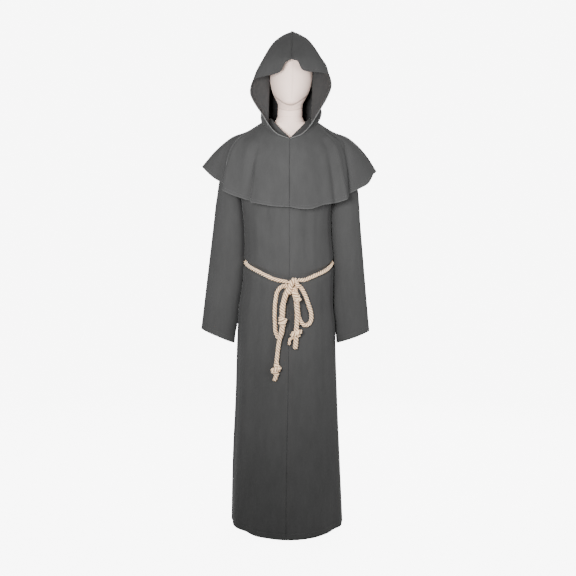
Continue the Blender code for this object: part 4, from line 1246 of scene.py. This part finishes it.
COVER = cover_finish()
seam_and_chin_shade_marks = [("seam", np.pad(seams_and_chin_shade, ((1, 1), (0, 0))))]
for name, grid, marks in (("head", head_grid, seam_and_chin_shade_marks), ("torso", torso_grid, ())):
    mesh = grid_mesh("cover_" + name, [(grid, False)], True, marks)
    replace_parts(add_piece("cover_" + name, mesh, COVER), "form_" + name)
    print("cover of the", name, "with", len(mesh.polygons), "faces")

# %% [markdown]
# ## The stand
#
# Its pole and foot are plain steel with a satin black paint, so the model's own pieces stay, in a better
# finish.

# %% The stand's paint
steel = Finish("satin_paint")
place = steel.place()
orange_peel, wear = steel.noise(place, 700.0, 2.0), steel.noise(place, 14.0, 5.0, 0.6)
steel.wear(
    Base_Color=steel.mix(steel.fit(wear, 0.4, 0.7), (0.022, 0.022, 0.024), (0.040, 0.040, 0.043)),
    Roughness=steel.fit(wear, 0.35, 0.7, 0.34, 0.50),
    Normal=steel.bump(orange_peel, 0.00012, 0.5),
)
for node in ("stand_pole", "stand_foot"):
    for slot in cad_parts[node].material_slots:
        slot.material = steel.material
print("painted the pole and the foot")

# %% [markdown]
# ## Three-strand rope
#
# Three strands are laid round each other, so a cut across the rope shows three lobes, and the cut turns as
# it goes along. This rope turns like the middle of a letter S. The same surface serves every stretch: a ring
# of points on the lobes, carried along a path, turned by a little more at each step.

# %% Rope surfaces
LAY = 0.030  # one turn of a strand along the rope
STRAND, STRAND_OFF = 0.56, 0.44  # a strand's radius and its distance from the middle, as shares of the rope's
ROPE_SIDES = 36


def frames_along(path):
    """Two cross directions that turn as little as they can from point to point."""
    tangent = unit(np.gradient(path, axis=0))
    across = [unit(np.cross(tangent[0], (0.31, -0.92, 0.23)))]
    for t in tangent[1:]:
        across.append(unit(across[-1] - t * (across[-1] @ t)))
    return np.array(across), np.cross(tangent, across)


def rope_grid(path, radius, start=0.0, taper=(0, 0)):
    """Rings off cos a + sqrt(strand^2 - (off sin a)^2) from the nearest strand, turned by -s / lay."""
    across, up = frames_along(path)
    run = run_of(path)
    turn = np.linspace(0, 2 * math.pi, ROPE_SIDES, endpoint=False)[None, :]
    lobe = (turn + math.pi / 3) % (2 * math.pi / 3) - math.pi / 3
    outline = STRAND_OFF * np.cos(lobe) + np.sqrt(STRAND**2 - (STRAND_OFF * np.sin(lobe)) ** 2)
    size = radius * np.ones(len(path))
    for end, blunt in zip((run, run[-1] - run), taper):
        if blunt:
            size = size * np.sqrt(np.clip(1 - (1 - np.clip(end / blunt, 0, 1)) ** 2, 0.05, 1))
    angle = turn - 2 * math.pi * (run[:, None] + start) / LAY
    side, rise = size[:, None] * outline * np.cos(angle), size[:, None] * outline * np.sin(angle)
    points = path[:, None] + side[..., None] * across[:, None] + rise[..., None] * up[:, None]
    straight = np.stack([side, rise, run[:, None] + start + 0 * angle], -1)
    return points, straight, 1 - outline + 0 * angle


def rope_piece(name, nodes, *tubes):
    """Closed tubes in one mesh; a point keeps its place in the straight rope, and its depth between the
    strands for the painted shade there.
    """
    points, laid, groove_shades, faces, first = [], [], [], [], 0
    for path, *shape in tubes:
        rings, straight, groove_shade = rope_grid(path, *shape)
        numbers = first + np.arange(rings.shape[0] * rings.shape[1]).reshape(rings.shape[:2])
        after = np.roll(numbers, -1, axis=1)
        low, high = numbers.max() + 1, numbers.max() + 2
        faces += np.stack([numbers[:-1], after[:-1], after[1:], numbers[1:]], -1).reshape(-1, 4).tolist()
        faces += np.stack([0 * numbers[0] + low, after[0], numbers[0]], -1).tolist()
        faces += np.stack([0 * numbers[0] + high, numbers[-1], after[-1]], -1).tolist()
        points += [rings.reshape(-1, 3), path[[0, -1]]]
        laid += [straight.reshape(-1, 3), straight[[0, -1]].mean(1)]
        groove_shades += [groove_shade.ravel(), (0.2, 0.2)]
        first = high + 1
    mesh = bpy.data.meshes.new(name)
    mesh.from_pydata(np.concatenate(points).tolist(), [], faces)
    # Besides its place in the straight rope each point keeps how deep it lies between the strands, which sets
    # the painted shade there.
    marks = (("lay", "FLOAT_VECTOR", "vector", laid), ("groove_shade", "FLOAT", "value", groove_shades))
    for mark, kind, field, values in marks:
        mesh.attributes.new(mark, kind, "POINT").data.foreach_set(field, np.concatenate(values).ravel())
    mesh.validate()
    mesh.shade_smooth()
    piece = add_piece(name, mesh, ROPE)
    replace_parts(piece, *nodes)
    return piece


def rope_finish():
    """Cotton: cream yarns along the rope, with lint that catches light, and a dark warm painted shade in the
    hollows between the strands.
    """
    finish = Finish("laid_cotton", Sheen_Weight=0.20, Specular_IOR_Level=0.3)
    lay = finish.attribute("lay")
    yarns = finish.noise(finish.stretched(lay, (1.0, 1.0, 0.16)), 1300.0, 3.0, 0.6)
    lint = finish.noise(finish.place(), 2200.0, 2.0)
    drift = finish.noise(lay, 30.0, 2.0)
    tone = finish.fit(yarns * 0.5 + drift * 0.3 + lint * 0.2, 0.36, 0.64)
    clean = finish.mix(tone, (0.82, 0.540, 0.325), (1.00, 0.775, 0.520))
    # The dark warm colour that depth between the strands mixes in is painted shade.
    deep = finish.fit(finish.attribute("groove_shade", "Fac"), 0.04, 0.30)
    return finish.wear(
        Base_Color=finish.mix(deep, clean, (0.17, 0.080, 0.038)),
        Roughness=finish.fit(yarns, 0.3, 0.7, 0.80, 0.95),
        Normal=finish.bump(yarns * 0.7 + lint * 0.3, 0.0009, 0.8),
    )


ROPE = rope_finish()
print("rope of", ROPE_SIDES, "sides, one turn in", LAY, "m")

# %% [markdown]
# ## Tying it
#
# The belt round the waist and the bow's two loops are drawn tight or lean on the robe. The cotton is soft,
# so it swells where nothing pulls on it: the hanging ends are a fifth to a half thicker than the belt. From
# outside, a tight knot is a core with slanting wraps round it that go in at both ends, and that is how each
# knot is made here: a helix on an ellipsoid for the core, and two or three shorter ones round it, each with
# its own tilt.

# %% The belt and the bow's loops
BELT_R, LOOP_R, WRAP_R, STRAP_R, TAIL_R = (share * ROPE_R for share in (1.04, 1.14, 1.30, 1.28, 0.85))
UPPER_R = {"right": 1.45 * ROPE_R, "left": 1.25 * ROPE_R}
LOWER_R = {"right": 1.18 * ROPE_R, "left": 1.34 * ROPE_R}


def declared(piece, path):
    """Prints the length of a stretch of rope that leaves the bow or a knot."""
    print(piece.name, "is", length_of(path), "m long")


def wraps(at, half, turns, tilt, start):
    """(u f cos a, v f sin a, w (1 - 2s)) tilted by an angle; f draws both ends in to the core."""
    s = np.linspace(0, 1, 120)
    u, v, w = np.array(half) - WRAP_R
    drawn = 0.15 + 0.85 * smooth(s / 0.15) * smooth((1 - s) / 0.15)
    a, lean = math.radians(start) + 2 * math.pi * turns * s, math.radians(tilt)
    x, y, z = u * drawn * np.cos(a), v * drawn * np.sin(a), w * (1 - 2 * s)
    tilted = (x * math.cos(lean) + z * math.sin(lean), y, z * math.cos(lean) - x * math.sin(lean))
    return even(np.stack(tilted, -1) + np.array(at))


BOW_STRAP = (
    (-0.005, -0.161, 0.859), (0.0015, -0.168, 0.8626), (0.0038, -0.176, 0.876), (0.0057, -0.179, 0.8875),
    (0.011, -0.178, 0.8986), (0.0171, -0.172, 0.9056), (0.0225, -0.167, 0.9015), (0.0262, -0.162, 0.8908),
    (0.0335, -0.157, 0.8795),
)
BOW_WRAPS = ((0.0165, 0.0140, 0.0150), 1.3, 25, 200)
strap = (even(BOW_STRAP), STRAP_R, 0.0, (0.004, 0.004))
bow = rope_piece("rope_bow_knot", ["bow_knot"], (wraps(BOW_AT, *BOW_WRAPS), WRAP_R), strap)
path = even(waist_route())
declared(rope_piece("rope_belt", ["rope_waist"], (path, BELT_R)), path)
for side, start in (("right", 0.004), ("left", 0.011)):
    path = even([*from_bow(f"loop_{side}_out"), *LOOPS[side], *from_bow(f"loop_{side}_back")[::-1]])
    loop = rope_piece("rope_bow_" + side, ["rope_loop_" + side], (path, LOOP_R, start))
    declared(loop, path)

# %% The hanging ends and their knots
# Each wrap of a knot: its offset from the knot's middle, half sizes, turns, tilt and starting angle.
KNOT_WRAPS = {
    "knot_right_middle": (
        ((0, 0, 0), (0.0145, 0.013, 0.019), 1.1, 12, 150),
        ((0.001, -0.0015, 0.0055), (0.017, 0.0155, 0.011), 0.6, 4, 165),
        ((0, -0.0005, -0.006), (0.0155, 0.0145, 0.011), 0.6, 34, 160),
    ),
    "knot_right_end": (
        ((0, 0, 0), (0.016, 0.0135, 0.0225), 1.1, 30, 200),
        ((0.0045, -0.0015, 0.0095), (0.0175, 0.0165, 0.0115), 0.62, 40, 160),
        ((-0.002, -0.003, 0), (0.0195, 0.0175, 0.0115), 0.62, -48, 160),
        ((-0.0045, -0.001, -0.011), (0.0165, 0.015, 0.011), 0.6, 24, 165),
    ),
    "knot_left_middle": (
        ((0, 0, 0), (0.0145, 0.013, 0.018), 1.1, -28, 200),
        ((-0.001, -0.0025, 0.002), (0.0215, 0.017, 0.011), 0.6, 46, 165),
        ((0.004, -0.0005, -0.0085), (0.0145, 0.0145, 0.011), 0.6, -24, 160),
    ),
    "knot_left_end": (
        ((0, 0, 0), (0.0155, 0.0135, 0.0175), 1.1, 0, 150),
        ((0.0075, -0.0005, 0.008), (0.0145, 0.016, 0.012), 0.6, -58, 160),
        ((-0.005, -0.0025, 0.0025), (0.017, 0.0175, 0.012), 0.62, -46, 160),
    ),
}
SWOLLEN = 0.038  # below its first knot the right end is thicker over this length
for side in SIDES:
    upper = even([*from_bow("end_" + side), *ENDS_UPPER[side]])
    lower, tail = even(ENDS_LOWER[side]), even(TAILS["tail_" + side])
    high = rope_piece(f"rope_{side}_upper", [f"rope_end_{side}_upper"], (upper, UPPER_R[side]))
    tubes = [(lower, LOWER_R[side], 0.007)]
    if side == "right":
        tubes.append((lower[: round(SWOLLEN / ROPE_STEP)], UPPER_R[side], 0.007, (0, 0.014)))
    low = rope_piece(f"rope_{side}_lower", [f"rope_end_{side}_lower"], *tubes)
    for label, above, below in (("middle", upper[-1], lower[0]), ("end", lower[-1], tail[0])):
        name = f"knot_{side}_{label}"
        around = [(wraps(KNOTS[name] + np.array(off), *wrap), WRAP_R) for off, *wrap in KNOT_WRAPS[name]]
        through = (even((above, (above + below) / 2, below)), LOWER_R[side])
        rope_piece(f"rope_{side}_knot_{label}", [name], *around, through)
    rope_piece(f"rope_{side}_tail", ["tail_" + side], (tail, LOWER_R[side], 0.0, (0, 0.005)))
    if side == "left":
        tail = even([KNOTS[name] + np.array((-0.002, 0, -0.006)), *TAILS["tail_left_side"]])
        tube = (tail, TAIL_R, 0.0, (0.003, 0.004))
        rope_piece("rope_left_tail_side", ["tail_left_side"], tube)
    declared(low, lower)

# %% [markdown]
# ## Stitches
#
# The hems are sewn by machine: a row of short stitches, each a little thread that rises out of the cloth and
# goes back in. Hundreds are needed, so each has only a few dozen faces.

# %% Stitches
STITCH, STITCH_EVERY, STITCH_R = 0.0031, 0.0040, 0.00030


def stitches(name, line, outward):
    """Capsules (x, r cos a, r sin a) along the line, r about sqrt(1 - (2x)^4), each turned to its place."""
    run = run_of(line)
    at = np.arange(STITCH_EVERY, run[-1] - STITCH_EVERY, STITCH_EVERY)
    ahead = unit(picked(at + 1e-3, run, line) - picked(at - 1e-3, run, line))
    up = picked(at, run, outward)
    up = unit(up - ahead * np.sum(up * ahead, 1, keepdims=True))
    x = np.array((-0.5, -0.44, -0.2, 0.2, 0.44, 0.5))[:, None]
    r = np.array((0.0, 0.6, 1.0, 1.0, 0.6, 0.0))[:, None] * STITCH_R
    a = np.linspace(0, 2 * math.pi, 6, endpoint=False)
    arch = STITCH_R * (0.55 - 4.5 * x**2)
    shape = np.stack([x * STITCH + 0 * a, r * np.cos(a), r * np.sin(a) + arch], -1)
    turned = np.einsum("rsk,nkj->nrsj", shape, np.stack([ahead, np.cross(ahead, up), up], 1))
    points = picked(at, run, line)[:, None, None] + turned
    return grid_mesh(name, [(one, False) for one in points], closed=True)


def stitched(name, cloth, at, edge):
    """A row of stitches at a share of a sheet's rows or columns."""
    one, many = (np.array([at]), np.array([-THREAD_PULL])), (np.linspace(0.01, 0.99, 160), np.zeros(160))
    points, outward, _ = cloth(one, many) if edge == "row" else cloth(many, one)
    return add_piece(name, stitches(name, points.reshape(-1, 3), outward.reshape(-1, 3)), THREAD)


for side in SIDES:
    for row, name, at, edge in (
        ("hem", "front", ROBE_HEM_WIDTH / ROBE_HIGH, "row"),
        ("hem_back", "back", ROBE_HEM_WIDTH / ROBE_HIGH, "row"),
        ("cuff", "sleeve", 1 - SLEEVE_HEM_WIDTH / run_of(np.stack(sleeve_middle(side), -1))[-1], "row"),
        ("cape", "cape", 1 - CAPE_HEM_WIDTH / CAPE_LONG, "row"),
        ("brim", "hood", HOOD_HEM_WIDTH / HOOD_DEEP, "column"),
    ):
        sheet_name = f"{name}_{side}"
        stitched(f"stitches_{row}_{side}", sheets[sheet_name], at, edge)

# %% [markdown]
# ## What was cut
#
# Each piece of felt prints its area where it is made, seam allowances and hems included.

# %% [markdown]
# ## Floor and light
#
# A white studio: the floor and the surround look equally pale, so that no horizon shows behind the costume.
# They would flood it with light if they were as bright as they look, so the camera sees them brighter than
# they shine. One soft lamp in front, at the height of the chest and towards the viewer's left, does most of
# the work: the chest is the lightest part, and the hood's crown and the hem fall off. A second one fills in
# from the right, and lamps at the sides and behind show the other views.

# %% Floor, lights and surround
SEEN, LIT, FLOOR_TONE = 8.0, 0.44, 0.50

floor = bpy.data.meshes.new("floor")
floor.from_pydata([(-40, -40, 0), (40, -40, 0), (40, 40, 0), (-40, 40, 0)], [], [(0, 1, 2, 3)])
brighter = SEEN - FLOOR_TONE * LIT
paper = Finish("studio_floor", Specular_IOR_Level=0.0, Roughness=0.9, Emission_Strength=brighter)
seen = paper.node("ShaderNodeLightPath", output="Is Camera Ray")
grain = paper.noise(paper.place(), 3.0, 2.0)
paper.wear(
    Base_Color=paper.mix(grain, (FLOOR_TONE,) * 3, (0.96 * FLOOR_TONE,) * 3),
    Emission_Color=paper.mix(seen, (0, 0, 0), (1, 1, 1)),
)
floor.materials.append(paper.material)
added("floor", floor)

world = bpy.data.worlds.new("studio")
bpy.context.scene.world = world
sky = Tree(world)
seen = sky.node("ShaderNodeLightPath", output="Is Camera Ray")
sky.feed(sky.nodes["Background"].inputs["Strength"], seen * (SEEN - LIT) + LIT)
sky.feed(sky.nodes["Background"].inputs["Color"], (1, 1, 1, 1))


def lamp(name, at, towards, size, power, spread):
    """A soft square light that faces a point, with a grid that keeps its beam within an angle."""
    light = bpy.data.lights.new(name, "AREA")
    light.size, light.energy, light.spread = size, power, math.radians(spread)
    holder = added(name, light)
    way = np.array(towards, float) - at
    holder.location = at
    holder.rotation_euler = (math.atan2(math.hypot(way[0], way[1]), -way[2]), 0, math.atan2(-way[0], way[1]))
    holder.visible_camera = False


lamp("key", (-0.46, -1.98, 1.34), (0, 0, 1.28), 0.5, 21.5, 90)
lamp("fill", (1.40, -1.85, 1.25), (0.12, 0, 1.15), 1.0, 9.0, 80)
lamp("left", (-2.6, 0.5, 1.5), (0, 0, 1.1), 1.4, 14, 150)
lamp("right", (2.6, 0.7, 1.5), (0, 0, 1.1), 1.4, 11, 150)
lamp("back", (0.5, 2.6, 1.6), (0, 0, 1.1), 1.4, 60, 130)
print("lights are up")
